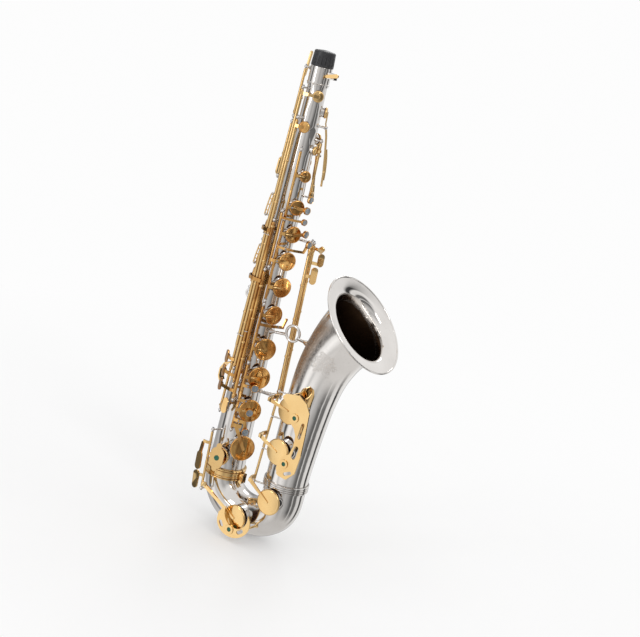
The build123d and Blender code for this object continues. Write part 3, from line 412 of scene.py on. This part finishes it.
def painted_reflection_lacquer():
    """the same lacquered brass, painted a deeper amber and with long soft dark streaks, as
    painted reflections of dark surroundings
    """
    m = metal(
        "gold_lacquer_painted_reflection", light=(0.92, 0.56, 0.20), dark=(0.76, 0.40, 0.11),
        shade_and_spot_color=(0.16, 0.055, 0.012), rough=(0.05, 0.11), smudge=0.04, scratch=0.02,
        grain_z=0.12, shade_reach=0.005, shade_weight=0.6, waviness=0.26, lacquer=0.25)
    # painted reflection: long dark amber streaks drawn out along Z
    reflection_streaks = m.noise(scale=60.0, detail=3.0, rough=0.55,
                      vector=m.stretched((1.0, 1.0, 0.22)), distortion=1.2)
    m.put(Base_Color=m.mix(m.remap(reflection_streaks, span=(0.42, 0.62), to=(0.0, 0.85)),
                           m.current("Base Color"), (0.40, 0.165, 0.035)))
    return m.material


def nickel_plate():
    return metal(
        "nickel_plate", light=(0.76, 0.735, 0.71), dark=(0.65, 0.62, 0.59),
        shade_and_spot_color=(0.16, 0.125, 0.095), rough=(0.035, 0.075), smudge=0.03, scratch=0.012,
        grain_z=0.10, shade_reach=0.005, shade_weight=0.6).material


def blued_steel():
    return metal(
        "blued_steel", light=(0.50, 0.49, 0.50), dark=(0.36, 0.36, 0.39),
        shade_and_spot_color=(0.10, 0.08, 0.07), rough=(0.18, 0.32), smudge=0.05, scratch=0.05,
        grain_z=0.05, shade_reach=0.002, shade_weight=0.7).material


# mouth of the bell: centre of the rim plane (metres) and the way it faces
RIM_CENTRE = (Vector((176.0, 0, 386.0)) + TO_FRAME) * MM
RIM_TILT = math.radians(46.6)
RIM_NORMAL = Vector((math.sin(RIM_TILT), 0, math.cos(RIM_TILT)))
SPRAY_CENTRE = (Vector((150.0, -46.0, 318.0)) + TO_FRAME) * MM


def bell_facing(m, normal, depth, from_rim):
    """positive on the outside of the bell, negative in its bore; lengths in metres"""
    _, _, z = xyz = m.split(m.place)
    along = m.node("VectorMath", {0: RIM_NORMAL, "Scale": depth}, operation="SCALE").outputs[0]
    radial = m.vector("ADD", from_rim, along)
    near_rim = m.vector("DOT_PRODUCT", radial, normal, output="Value")
    # lower down the tube stands upright on a gently curved centre line
    normal_x, normal_y, _ = m.split(normal)
    rise = m.add(z, ORIGIN_Z * MM - 0.104)
    centre_x = m.add(m.mul(m.mul(rise, rise), 0.416), 0.114)
    lower = m.add(m.mul(m.math("SUBTRACT", xyz[0], centre_x), normal_x),
                  m.mul(xyz[1], normal_y))
    upper_share = m.remap(rise, span=(0.190, 0.196))
    facing = m.add(m.mul(near_rim, upper_share),
                   m.mul(lower, m.math("SUBTRACT", 1.0, upper_share)))
    return facing, z


def engraving(m):
    """rings of small petals with stippled leaves between them"""
    cells = m.cells(scale=62.0, vector=m.vector("ADD", m.place, (0, 0, 0)))
    ring = m.math("SINE", m.mul(cells, 34.0))       # rings per cell
    curl = m.noise(scale=190.0, detail=2.0, rough=0.5)
    petals = m.math("SINE", m.add(m.mul(curl, 42.0), m.mul(cells, 12.0)))
    lines = m.math("MAXIMUM", m.remap(ring, span=(0.55, 0.95)),
                   m.remap(petals, span=(0.45, 0.95)))
    stipple = m.remap(m.noise(scale=900.0, detail=2.0), span=(0.52, 0.60))
    # cut depth of lines and of stipple
    return m.math("MAXIMUM", m.mul(lines, 0.9), m.mul(stipple, 0.55))


def nickel_bell():
    """nickel with leaf-and-scroll engraving outside and painted shade deep in the bore inside"""
    m = metal(
        "nickel_bell", light=(0.86, 0.83, 0.80), dark=(0.75, 0.72, 0.69),
        shade_and_spot_color=(0.16, 0.125, 0.095), rough=(0.025, 0.055), smudge=0.02, scratch=0.010,
        grain_z=0.10, shade_reach=0.004, shade_weight=0.5)
    normal = m.node("NewGeometry").outputs["Normal"]
    from_rim = m.vector("SUBTRACT", m.place, RIM_CENTRE)
    depth = m.mul(m.vector("DOT_PRODUCT", from_rim, RIM_NORMAL, output="Value"), -1.0)
    facing, z = bell_facing(m, normal, depth, from_rim)

    # painted shade: the bore is painted dark below an uneven edge, 15 to 21.5 mm behind the rim
    inside = m.remap(facing, span=(-0.004, 0.0), to=(1.0, 0.0))
    wander = m.remap(m.noise(scale=55.0, detail=3.0), span=MIDDLE, to=(-0.0016, 0.0016))
    dark = m.mul(inside, m.remap(m.add(depth, wander), span=(0.0150, 0.0215)))

    # engraved band on the -X side, fading out at its lower and upper ends
    pattern = engraving(m)
    back = m.remap(m.split(normal)[0], span=(-0.50, -0.10), to=(1.0, 0.0))
    above = m.remap(z, span=(0.262 - ORIGIN_Z * MM, 0.285 - ORIGIN_Z * MM))
    below = m.remap(z, span=(0.372 - ORIGIN_Z * MM, 0.386 - ORIGIN_Z * MM), to=(1.0, 0.0))
    outside = m.remap(facing, span=(0.0, 0.004))
    band = m.mul(m.mul(m.mul(above, below), outside), back)

    # fainter spray of leaves on the -Y side, with an uneven outline
    from_spray = m.vector("SUBTRACT", m.place, SPRAY_CENTRE)
    distance = m.vector("LENGTH", from_spray, output="Value")
    ragged = m.remap(m.noise(scale=70.0, detail=3.0), span=MIDDLE, to=(-0.010, 0.010))
    spray = m.remap(m.add(distance, ragged), span=(0.016, 0.021), to=(1.0, 0.0))
    zones = m.math("MAXIMUM", band, m.mul(m.mul(spray, outside), 0.45))
    mask = m.mul(zones, pattern)

    # painted reflection of the gold keys as a warm tint over the band, darker engraved cuts,
    # then the painted shade of the bore
    painted_key_reflection = m.mix(m.mul(band, 0.62), m.current("Base Color"), (0.42, 0.235, 0.095))
    engraved = m.mix(m.mul(mask, 0.60), painted_key_reflection, (0.20, 0.115, 0.05))
    # painted shade: the dark brown colour of the shaded bore
    bore = m.mix(m.noise(scale=24.0, detail=5.0, rough=0.6),
                 (0.030, 0.017, 0.010), (0.11, 0.062, 0.035))
    cut_rough = m.add(m.current("Roughness"), m.mul(mask, 0.22))
    m.put(Base_Color=m.mix(dark, engraved, bore),
          Roughness=m.add(cut_rough, m.mul(dark, 0.30)),
          Normal=m.bump(mask, strength=0.6, distance=-0.0003, normal=m.current("Normal")))
    return m.material


# ---------------------------------------------------------------- other materials
def pad_leather():
    m = Material("pad_leather")
    base = m.mix(m.noise(scale=120.0, detail=5.0), (0.075, 0.026, 0.014), (0.17, 0.07, 0.04))
    grain = m.cells(scale=1500.0)
    shade = m.remap(m.occlusion(0.003), span=(0.2, 0.9), to=(0.35, 1.0))
    color = m.mix(1.0, base, m.ramp(shade, [(0, 0.3), (1, 1.0)]), "MULTIPLY")
    # fine grain plus broader creases
    height = m.add(m.mul(grain, 0.6), m.mul(m.noise(scale=260.0, detail=4.0), 0.7))
    m.put(Base_Color=color, Specular_IOR_Level=0.5,
          Roughness=m.remap(m.noise(scale=90.0), span=MIDDLE, to=(0.36, 0.62)),
          Normal=m.bump(height, strength=0.35, distance=0.0002))
    return m.material


def black_plastic():
    m = Material("black_plastic")
    color = m.mix(m.noise(scale=60.0, detail=5.0), (0.012, 0.012, 0.014), (0.03, 0.03, 0.033))
    wear = m.remap(m.noise(scale=240.0, detail=4.0), span=(0.58, 0.7))
    color = m.mix(m.mul(wear, 0.35), color, (0.10, 0.10, 0.10))     # faint grey wear
    m.put(Base_Color=color,
          Roughness=m.remap(m.noise(scale=30.0, detail=5.0), span=MIDDLE, to=(0.30, 0.52)),
          Normal=m.bump(m.noise(scale=1400.0, detail=2.0), strength=0.12, distance=0.0002))
    return m.material


def mother_of_pearl():
    m = Material("mother_of_pearl")
    swirl = m.noise(scale=95.0, detail=4.0, rough=0.6, distortion=2.5)
    color = m.ramp(swirl, [
        (0.25, (0.10, 0.115, 0.13)), (0.42, (0.30, 0.32, 0.34)), (0.55, (0.15, 0.18, 0.21)),
        (0.68, (0.42, 0.42, 0.41)), (0.85, (0.20, 0.19, 0.22))])
    m.put(Base_Color=color, Coat_Weight=0.7, Coat_Roughness=0.06, Metallic=0.25,
          Roughness=m.remap(m.noise(scale=300.0), span=MIDDLE, to=(0.14, 0.24)),
          Normal=m.bump(swirl, strength=0.10, distance=0.0003))
    return m.material


def cork():
    m = Material("cork")
    grain = m.cells(scale=900.0)
    m.put(Base_Color=m.mix(grain, (0.20, 0.10, 0.045), (0.48, 0.30, 0.16)),
          Roughness=0.85, Normal=m.bump(grain, strength=0.6, distance=0.0003))
    return m.material


def felt(name, dark, light):
    m = Material(name)
    fibres = m.noise(scale=2600.0, detail=4.0, rough=0.7)
    m.put(Base_Color=m.mix(m.remap(fibres, span=(0.35, 0.65)), dark, light),
          Roughness=0.95, Sheen_Weight=0.6, Specular_IOR_Level=0.1,
          Normal=m.bump(fibres, strength=0.8, distance=0.0004))
    return m.material


GOLD = gold_lacquer()
NICKEL = nickel_plate()
BELL = nickel_bell()
STEEL = blued_steel()
# gold with painted amber reflections
PAINTED_REFLECTION_GOLD = painted_reflection_lacquer()
LEATHER = pad_leather()
PLASTIC = black_plastic()
PEARL = mother_of_pearl()
CORK = cork()
GREEN_FELT = felt("green_felt", dark=(0.010, 0.075, 0.045), light=(0.03, 0.16, 0.10))
# a spare felt that no piece wears
felt("dark_felt", dark=(0.02, 0.02, 0.022), light=(0.06, 0.055, 0.05))

# ---------------------------------------------------------------- looks of the loaded pieces
# keys that wear the gold with painted reflections
PAINTED_REFLECTION_KEYS = {"key_" + key for key in (*STACK_CUPS, "side_bb", "side_c", "side_e")}
MATERIAL_OF = {
    "body_bow_band": GOLD, "neck_screw": GOLD, "band_screws": GOLD, "thumb_hook": GOLD,
    "bumper_felts": GREEN_FELT, "end_plug": PLASTIC, "thumb_rest": PLASTIC,
    "hinge_rods": STEEL, "bell": BELL}
SOFT_EDGED = ("thumb_hook", "bell_brace", "strap_ring", "neck_receiver")


def material_for(name):
    if name.startswith("pad_"):
        return LEATHER
    if name in PAINTED_REFLECTION_KEYS:
        return PAINTED_REFLECTION_GOLD
    if name.startswith(("key_", "guard_")):
        return GOLD
    return MATERIAL_OF.get(name, NICKEL)


def soften_edges(piece):
    weld = piece.modifiers.new("weld", "WELD")
    weld.merge_threshold = 0.00001
    bevel = piece.modifiers.new("soft_edges", "BEVEL")
    bevel.width = 0.00035
    bevel.segments = 2
    bevel.limit_method = "ANGLE"
    bevel.angle_limit = math.radians(50)
    bevel.harden_normals = False
    bevel.use_clamp_overlap = True


for name, piece in NODES.items():
    piece.data.materials.clear()
    piece.data.materials.append(material_for(name))
    for polygon in piece.data.polygons:
        polygon.material_index = 0
    if name.startswith(("key_", "guard_")) or name in SOFT_EDGED:
        soften_edges(piece)


# ---------------------------------------------------------------- pads, buttons and cups
def small_pads():
    """leather pads of the smaller cups, each with a metal resonator facing the hole"""
    for key, (angle, z, cup_radius, hole_height) in {**SIDE_CUPS, **UPPER_CUPS}.items():
        # the frame may already bring this pad, or lack the key
        if "pad_" + key in NODES or "key_" + key not in BODIES:
            continue
        normal = normal_at(angle)
        origin = on_tube(angle, z) + normal * (hole_height + 0.10)
        r = cup_radius - 1.0
        Solid().lathe([
            (0, 0.22), (r * 0.42, 0.22), (r * 0.50, 0.0), (r - 0.5, 0.0), (r - 0.12, 0.25),
            (r, 0.8), (r, 2.2), (0, 2.2)], origin, normal
        ).make_on_key("pad_small", key, LEATHER, "pad_d")
        Solid().lathe([
            (0, -0.9), (r * 0.25, -0.8), (r * 0.38, -0.2), (r * 0.38, 0.25), (0, 0.25)],
            origin, normal, 24).make_on_key("resonator", key, NICKEL, "bell")


# key, seat angle, z, height over the tube, angle of the normal, radius
BUTTONS = [
    ("d", 35, 165, 18.6, 35, 6.2), ("e", 34, 195, 13.4, 34, 6.2),
    ("f", 35, 235.4, 15.6, 35, 6.2), ("g", -2, 470, 29.4, -4, 6.0),
    ("a", -3, 483, 18.8, -3, 5.8), ("b", 6, 518.5, 16.6, 6, 5.8),
    ("bis", 8, 501.2, 17.6, 8, 4.9), ("front_f", 6, 535.4, 19.4, 6, 5.6)]
RIM_WIDTH = 0.86


def finger_buttons():
    """dished mother-of-pearl discs in round metal rims"""
    for key, angle, z, height, normal_angle, radius in BUTTONS:
        normal = normal_at(normal_angle)
        centre = on_tube(angle, z, height)
        r = radius - RIM_WIDTH
        Solid().lathe([
            (0, 0.62), (r, 0.62), (r, 2.15), (r - 0.25, 2.45), (r * 0.72, 2.32),
            (r * 0.4, 2.12), (0, 2.02)], centre, normal).make_on_key("button", key, PEARL)
        Solid().lathe([
            (r + 0.05, 1.9), (r + 0.05, 2.25), (r + 0.35, 2.5), (r + 0.75, 2.3),
            (r + 0.85, 1.9)], centre, normal, 44).make_on_key("button_rim", key, PAINTED_REFLECTION_GOLD)


def cup_rings():
    """two concentric rings on top of each stack cup"""
    for key, (angle, z, cup_radius, hole_height) in STACK_CUPS.items():
        origin = on_tube(angle, z, hole_height + CUP_SHELL_LIFT)
        rings = Solid()
        for share in (0.80, 0.62):
            r = cup_radius * share
            top = 4.2 - share       # the cup's top falls away towards its edge
            rings.lathe([(r - 0.45, top - 0.35), (r - 0.2, top + 0.18),
                         (r + 0.2, top + 0.18), (r + 0.45, top - 0.35)],
                        origin, normal_at(angle), 56)
        rings.make_on_key("cup_rings", key, PAINTED_REFLECTION_GOLD)


# ---------------------------------------------------------------- screws and springs
def pivot_screws():
    """slotted screw heads on both ends of every hinge rod"""
    screws = Solid()
    for rod in RODS.values():
        for z, sign in ((rod.start.z, -1), (rod.end.z, 1)):
            axis = rod.along * sign
            head = rod.at(z) + axis * 2.4
            axes = basis(axis)
            screws.lathe([(0, 0.9), (0.35, 0.9), (0.35, 1.25), (1.25, 1.15), (1.5, 0.8),
                          (1.5, 0.0), (0, 0.0)], head, axis, 18)
            screws.box(head + axes[2], axes, (1.3, 0.16, 0.42))
    screws.make("pivot_screws", STEEL, "body", "hinge_rods")


# rod: degrees to the side of it, then (foot z, tip z) of each spring
SPRINGS = {
    "lower_stack": (-9, [(166, 200), (232, 266), (280, 312), (326, 350)]),
    "upper_stack": (-9, [(378, 410), (464, 492), (506, 540), (550, 588)]),
    "side_bb": (7, [(300, 350)]), "side_c": (7, [(330, 392)]),
    "side_e": (7, [(430, 500)]), "high_fs": (8, [(520, 600)])}


def needle_springs():
    """slightly bowed, tapering springs beside the hinge rods"""
    ends = []
    for rod, (side, spans) in SPRINGS.items():
        for foot_z, tip_z in spans:
            angle = angle_of(RODS[rod].at(foot_z))
            ends.append((on_tube(angle + side * 0.5, foot_z, 6.0),
                         on_tube(angle + side * 0.32, tip_z, 8.2)))
    low = RODS["low_side"]
    ends.append((low.at(108) + Vector((4.5, 1.0, 0)), low.at(140) + Vector((3.4, 0.4, 0))))
    springs = Solid()
    for foot, tip in ends:
        middle = (foot + tip) / 2 + outward(foot) * 0.6
        springs.tube([foot, (foot + middle) / 2, middle, (middle + tip) / 2, tip],
                     [0.42, 0.38, 0.34, 0.30, 0.24], 8)
    springs.make("needle_springs", STEEL, "body", "hinge_rods")


# key, angle, z, height over the tube
ADJUSTING_SCREWS = [
    ("e", 47, 212, 13.6), ("fs", 47.5, 312, 13.4), ("f", 50, 236, 14.6), ("d", 53, 180, 16.6),
    ("gs", 12, 335, 15.6), ("g", 40, 457.4, 18.9), ("bis", 52, 436, 14.6), ("b", 46, 519, 11.9)]


def adjusting_screws():
    for key, angle, z, height in ADJUSTING_SCREWS:
        Solid().lathe([
            (0, 0.5), (0.28, 0.5), (0.28, 0.95), (1.15, 0.9), (1.45, 0.6), (1.45, -0.2),
            (0, -0.2)], on_tube(angle, z, height), normal_at(angle), 20
        ).make_on_key("adjust_screw", key, STEEL, "hinge_rods")


# ---------------------------------------------------------------- long key tubes and ribs
# key: z of each collar; the rod has the key's name
COLLARS = {
    "side_e": (262, 330, 392, 455, 520, 584, 630), "side_c": (240, 300, 352, 430, 484),
    "side_bb": (216, 275, 340, 392), "high_fs": (192, 262, 345, 440, 530, 612, 678),
    "table_b": (232, 290, 350, 404, 458), "table_bb": (232, 300, 362, 410, 458),
    "table_cs": (232, 310, 372, 416, 458)}
# key, lower z, upper z, material
SLEEVES = [("side_e", 262, 644, GOLD), ("side_c", 238, 488, PAINTED_REFLECTION_GOLD),
           ("side_bb", 214, 412, PAINTED_REFLECTION_GOLD), ("high_fs", 292, 688, GOLD)]


def collars():
    """turned double collars"""
    inner = 2.55
    waist, crest = inner + 0.6, inner + 0.85
    for key, stations in COLLARS.items():
        rod, rings = RODS[key], Solid()
        for z in stations:
            rings.lathe([
                (inner, -1.3), (waist, -1.3), (crest, -0.9), (crest, -0.25), (waist, 0.0),
                (crest, 0.25), (crest, 0.9), (waist, 1.3), (inner, 1.3)],
                rod.at(z), rod.along, 20)
        rings.make_on_key("collars", key, GOLD)


def sleeves():
    """outer sleeves of the four long side tubes"""
    for key, low, high, material in SLEEVES:
        rod = RODS[key]
        length = (rod.at(high) - rod.at(low)).length
        Solid().lathe([
            (2.0, 0), (2.35, 0), (2.6, 0.3), (2.6, length - 0.3), (2.35, length),
            (2.0, length)], rod.at(low), rod.along, 24).make_on_key("sleeve", key, material)


def arm_ribs():
    """rounded ribs along the arms, from the top of each stack cup but d and bis to its hinge rod
    """
    for key in ("e", "f", "fs", "g", "a", "b", "c", "gs"):
        rod = RODS["lower_stack" if key in ("e", "f", "fs", "gs") else "upper_stack"]
        angle, z, _, hole_height = STACK_CUPS[key]
        hinge = rod.at(z)
        swing = angle_of(hinge) - angle
        top = hole_height + CUP_SHELL_LIFT + 3.9
        hinge_height = math.hypot(hinge.x, hinge.y) - tube_radius(z)
        Solid().tube([
            on_tube(angle - 3, z, top + 0.3), on_tube(angle + 0.25 * swing, z, top + 0.9),
            on_tube(angle + 0.55 * swing, z, top + 2.0), on_tube(angle + 0.8 * swing, z, 11.9),
            on_tube(angle + swing, z, hinge_height + 1.6)],
            [0.7, 1.25, 1.35, 1.3, 1.0], 14).make_on_key("arm_rib", key, GOLD)


def palm_rib():
    """rib along the outside of the longest palm lever"""
    # z, height over the tube, rib radius
    stations = [(612, 19.2, 0.9), (602, 20.6, 1.7), (592, 21.8, 2.0),
                (580, 23.2, 1.8), (566, 24.4, 1.0)]
    angle = SIDE_CUPS["palm_f"][0]
    Solid().tube([on_tube(angle, z, height) for z, height, _ in stations],
                 [radius for _, _, radius in stations], 14
                 ).make("palm_rib_f", GOLD, "key_palm_f")


# ---------------------------------------------------------------- fittings on the -X side
# name, angle, (z, height over the tube) along the link
REAR_LINKS = [
    ("upper", 147, [(528, 8.8), (520, 9.8), (511, 10.6), (502, 11.2), (495, 11.4)]),
    ("lower", 144, [(448, 7.0), (441, 7.8), (433, 8.6), (426, 9.2), (419, 9.6)])]
RAIL_OFFSET, RAIL_RADIUS = 1.9, 1.05


def ladder(path):
    """two slim rails joined by rungs"""
    sides = []
    for i, point in enumerate(path):
        ahead = (path[min(i + 1, len(path) - 1)] - path[max(i - 1, 0)]).normalized()
        out = outward(point)
        sides.append((out - ahead * out.dot(ahead)).normalized() * RAIL_OFFSET)
    link = Solid()
    for sign in (-1, 1):
        link.tube([point + side * sign for point, side in zip(path, sides)], RAIL_RADIUS)
    for point, side in zip(path, sides):
        link.tube([point - side, point + side], RAIL_RADIUS * 0.9, 8)
    return link


def rear_links():
    for name, angle, stations in REAR_LINKS:
        # the octave key may be missing from the frame
        ladder([on_tube(angle, z, height) for z, height in stations]).make(
            "rear_link_" + name, GOLD, "body", "key_octave" if "key_octave" in NODES else None)
        posts = Solid()
        for z, h in (stations[0], stations[-1]):
            posts.lathe([
                (0, -0.6), (3.2, -0.6), (3.2, 0.1), (1.7, 1.1), (1.25, 2.0), (1.25, h - 2.0),
                (2.0, h - 1.4), (2.5, h - 0.2), (2.2, h + 1.2), (1.2, h + 2.1), (0, h + 2.4)],
                on_tube(angle, z), normal_at(angle), 24)
        posts.make("rear_posts_" + name, NICKEL, "body", "posts_body")


def rear_knobs():
    knobs = Solid()
    angle = 146
    for z, h in ((457, 2.6), (380, 3.4)):       # z, stem height
        knobs.lathe([
            (0, -0.6), (3.0, -0.6), (3.0, 0.2), (1.5, 1.0), (1.3, h), (2.6, h + 1.2),
            (3.1, h + 3.0), (2.6, h + 4.8), (1.3, h + 5.9), (0, h + 6.2)],
            on_tube(angle, z), normal_at(angle), 26)
    knobs.make("rear_knobs", NICKEL, "body", "posts_body")


def tube_saddles():
    """wire rings on short feet that steady the long side tubes"""
    saddles = Solid()
    for key, z in (("side_e", 309), ("side_e", 470), ("side_c", 318),
                   ("high_fs", 309), ("high_fs", 470)):
        centre = RODS[key].at(z)
        x, y, _ = basis(RODS[key].along, Vector((centre.x, centre.y, 0)))
        turns = [math.pi * 2 * i / 20 for i in range(20)]
        ring = [centre + (x * math.cos(t) + y * math.sin(t)) * 3.7 for t in turns]
        saddles.tube(ring + [ring[0]], 0.62, 8)
        saddles.tube([centre - x * 4.0, on_tube(angle_of(centre), z, -0.3)], 1.0)
    saddles.make("tube_saddles", NICKEL, "body", "posts_body")


def key_corks():
    # key, angle, z, height over the tube, radius
    for key, angle, z, height, r in [
            ("side_bb", 126, 223, 13.6, 3.2), ("side_c", 127, 245.6, 13.6, 3.2),
            ("side_e", 128, 268.6, 13.6, 3.2), ("high_fs", 92, 197, 14.0, 3.0)]:
        Solid().lathe([(0, 0.6), (r, 0.6), (r, -1.2), (r - 0.4, -2.0), (0, -2.0)],
                      on_tube(angle, z, height), normal_at(angle), 24
                      ).make_on_key("cork", key, CORK)


small_pads()
finger_buttons()
cup_rings()
pivot_screws()
needle_springs()
adjusting_screws()
collars()
sleeves()
arm_ribs()
palm_rib()
rear_links()
rear_knobs()
tube_saddles()
key_corks()

# ---------------------------------------------------------------- camera
VIEW_TARGET = Vector((60, 0, 380))
VIEW_DISTANCE = 2000.0
VIEW_AZIMUTH, VIEW_ELEVATION, VIEW_ROLL = 1.0209986, 0.2304216, 0.2414828       # radians
AIM_RIGHT, AIM_UP = 0.015473493, -0.011326321       # offsets of the aim, as tangents
SENSOR_WIDTH, LENS = 36.0, 74.418638


def add_camera():
    flat = math.cos(VIEW_ELEVATION)
    view = Vector((flat * math.cos(VIEW_AZIMUTH), -flat * math.sin(VIEW_AZIMUTH),
                   math.sin(VIEW_ELEVATION)))
    right = Vector((0, 0, 1)).cross(view).normalized()
    up = view.cross(right)
    c, s = math.cos(VIEW_ROLL), math.sin(VIEW_ROLL)
    right, up = right * c + up * s, -right * s + up * c
    # aim a little off the target in place of a lens shift
    back = -(right * AIM_RIGHT + up * AIM_UP - view).normalized()
    right = (right - back * right.dot(back)).normalized()
    up = back.cross(right)
    pose = Matrix((right, up, back)).transposed().to_4x4()
    pose.translation = (VIEW_TARGET + view * VIEW_DISTANCE + TO_FRAME) * MM
    data = bpy.data.cameras.new("camera")
    data.sensor_width = SENSOR_WIDTH
    data.lens = LENS
    data.clip_start, data.clip_end = 0.05, 200.0
    camera = bpy.data.objects.new("camera", data)
    bpy.context.scene.collection.objects.link(camera)
    camera.matrix_world = pose
    bpy.context.scene.camera = camera


# ---------------------------------------------------------------- studio, in metres
def pale_floor():
    """matt near the instrument, turning to an even white glow further out"""
    m = Material("pale_floor")
    position = m.node("NewGeometry").outputs["Position"]
    distance = m.vector("LENGTH", m.vector("MULTIPLY", position, (1, 1, 0)), output="Value")
    far = m.remap(distance, span=(0.30, 1.2), to=(0.25, 1.0))
    m.put(Base_Color=m.mix(m.noise(scale=3.0, detail=3.0), (0.90,) * 3, (0.94,) * 3),
          Roughness=0.9, Specular_IOR_Level=0.1)
    glow = m.node("Emission", {"Color": (1, 1, 1), "Strength": 0.98})
    blend = m.node("MixShader", {0: far, 1: m.surface.outputs[0], 2: glow.outputs[0]})
    m.feed(m.output.inputs[0], blend.outputs[0])
    return m.material


def add_floor():
    material = pale_floor()
    mesh = bpy.data.meshes.new("floor")
    bm = bmesh.new()
    bmesh.ops.create_circle(bm, cap_ends=True, segments=96, radius=40.0)
    bm.to_mesh(mesh)
    bm.free()
    floor = bpy.data.objects.new("floor", mesh)
    floor.location = (0.06, 0, FLOOR_Z - 0.0008)
    floor.visible_glossy = False
    bpy.context.scene.collection.objects.link(floor)
    mesh.materials.append(material)


# brightness round the horizon: degrees from +X towards +Y, brightness
HORIZON = [
    (-180, 0.50), (-162, 0.70), (-152, 0.10), (-144, 0.10), (-136, 0.92), (-126, 1.14),
    (-117, 1.05), (-108, 0.70), (-99, 0.94), (-88, 0.96), (-76, 0.80), (-62, 0.50),
    (-46, 0.62), (-28, 0.42), (-14, 0.16), (-5, 0.14), (0, 0.80), (5, 0.20), (20, 0.16),
    (27, 0.80), (44, 0.90), (51, 0.05), (60, 0.05), (67, 0.85), (90, 0.95), (108, 0.55),
    (121, 0.30), (135, 0.5), (180, 0.50)]


def add_world():
    """glossy rays see light and dark panels; the camera sees white, the rest pale grey"""
    world = bpy.data.worlds.new("studio")
    bpy.context.scene.world = world
    w = Tree(world)
    output = w.node("OutputWorld")
    background = w.node("Background", {1: 0.98})
    w.feed(output.inputs[0], background.outputs[0])
    x, y, z = w.split(w.node("TexCoord").outputs["Generated"])
    turn = w.add(w.math("DIVIDE", w.math("ARCTAN2", y, x), 2 * math.pi), 0.5)
    panels = w.ramp(turn, [(angle / 360.0 + 0.5, grey) for angle, grey in HORIZON])
    ceiling = w.mix(w.remap(z, span=(0.30, 0.58)), panels, (0.95, 0.95, 0.95))
    ground = w.mix(w.remap(z, span=(-0.55, -0.80)), ceiling, (0.72, 0.71, 0.70))
    rays = w.node("LightPath").outputs
    light = w.mix(rays["Is Glossy Ray"], (0.92, 0.92, 0.92), ground)
    seen = w.mix(rays["Is Camera Ray"], light, (1, 1, 1))
    w.feed(background.inputs[0], seen)


# name, x y and height over the floor, height aimed at, width and length, watts, colour
LIGHTS = [
    ("key_soft", (1.6, -0.6, 1.7), 0.35, (0.5, 0.7), 5.0, (1.0, 0.98, 0.96)),
    ("fill_soft", (-0.7, -1.9, 0.9), 0.35, (0.4, 1.1), 4.0, (0.97, 0.98, 1.0)),
    ("rim_soft", (-0.6, 1.5, 1.4), 0.4, (0.6, 0.6), 4.0, (1, 1, 1))]


def add_lights():
    for name, (x, y, height), aim_height, size, power, color in LIGHTS:
        data = bpy.data.lights.new(name, "AREA")
        data.shape = "RECTANGLE"
        data.size, data.size_y = size
        data.energy = power
        data.color = color
        light = bpy.data.objects.new(name, data)
        bpy.context.scene.collection.objects.link(light)
        place = Vector((x, y, FLOOR_Z + height))
        aim = Vector((0.05, 0, FLOOR_Z + aim_height)) - place
        light.location = place
        light.rotation_euler = aim.to_track_quat("-Z", "Y").to_euler()
        light.visible_camera = False


add_camera()
add_floor()
add_world()
add_lights()
bpy.context.scene.view_settings.view_transform = "Standard"
bpy.context.scene.view_settings.look = "None"
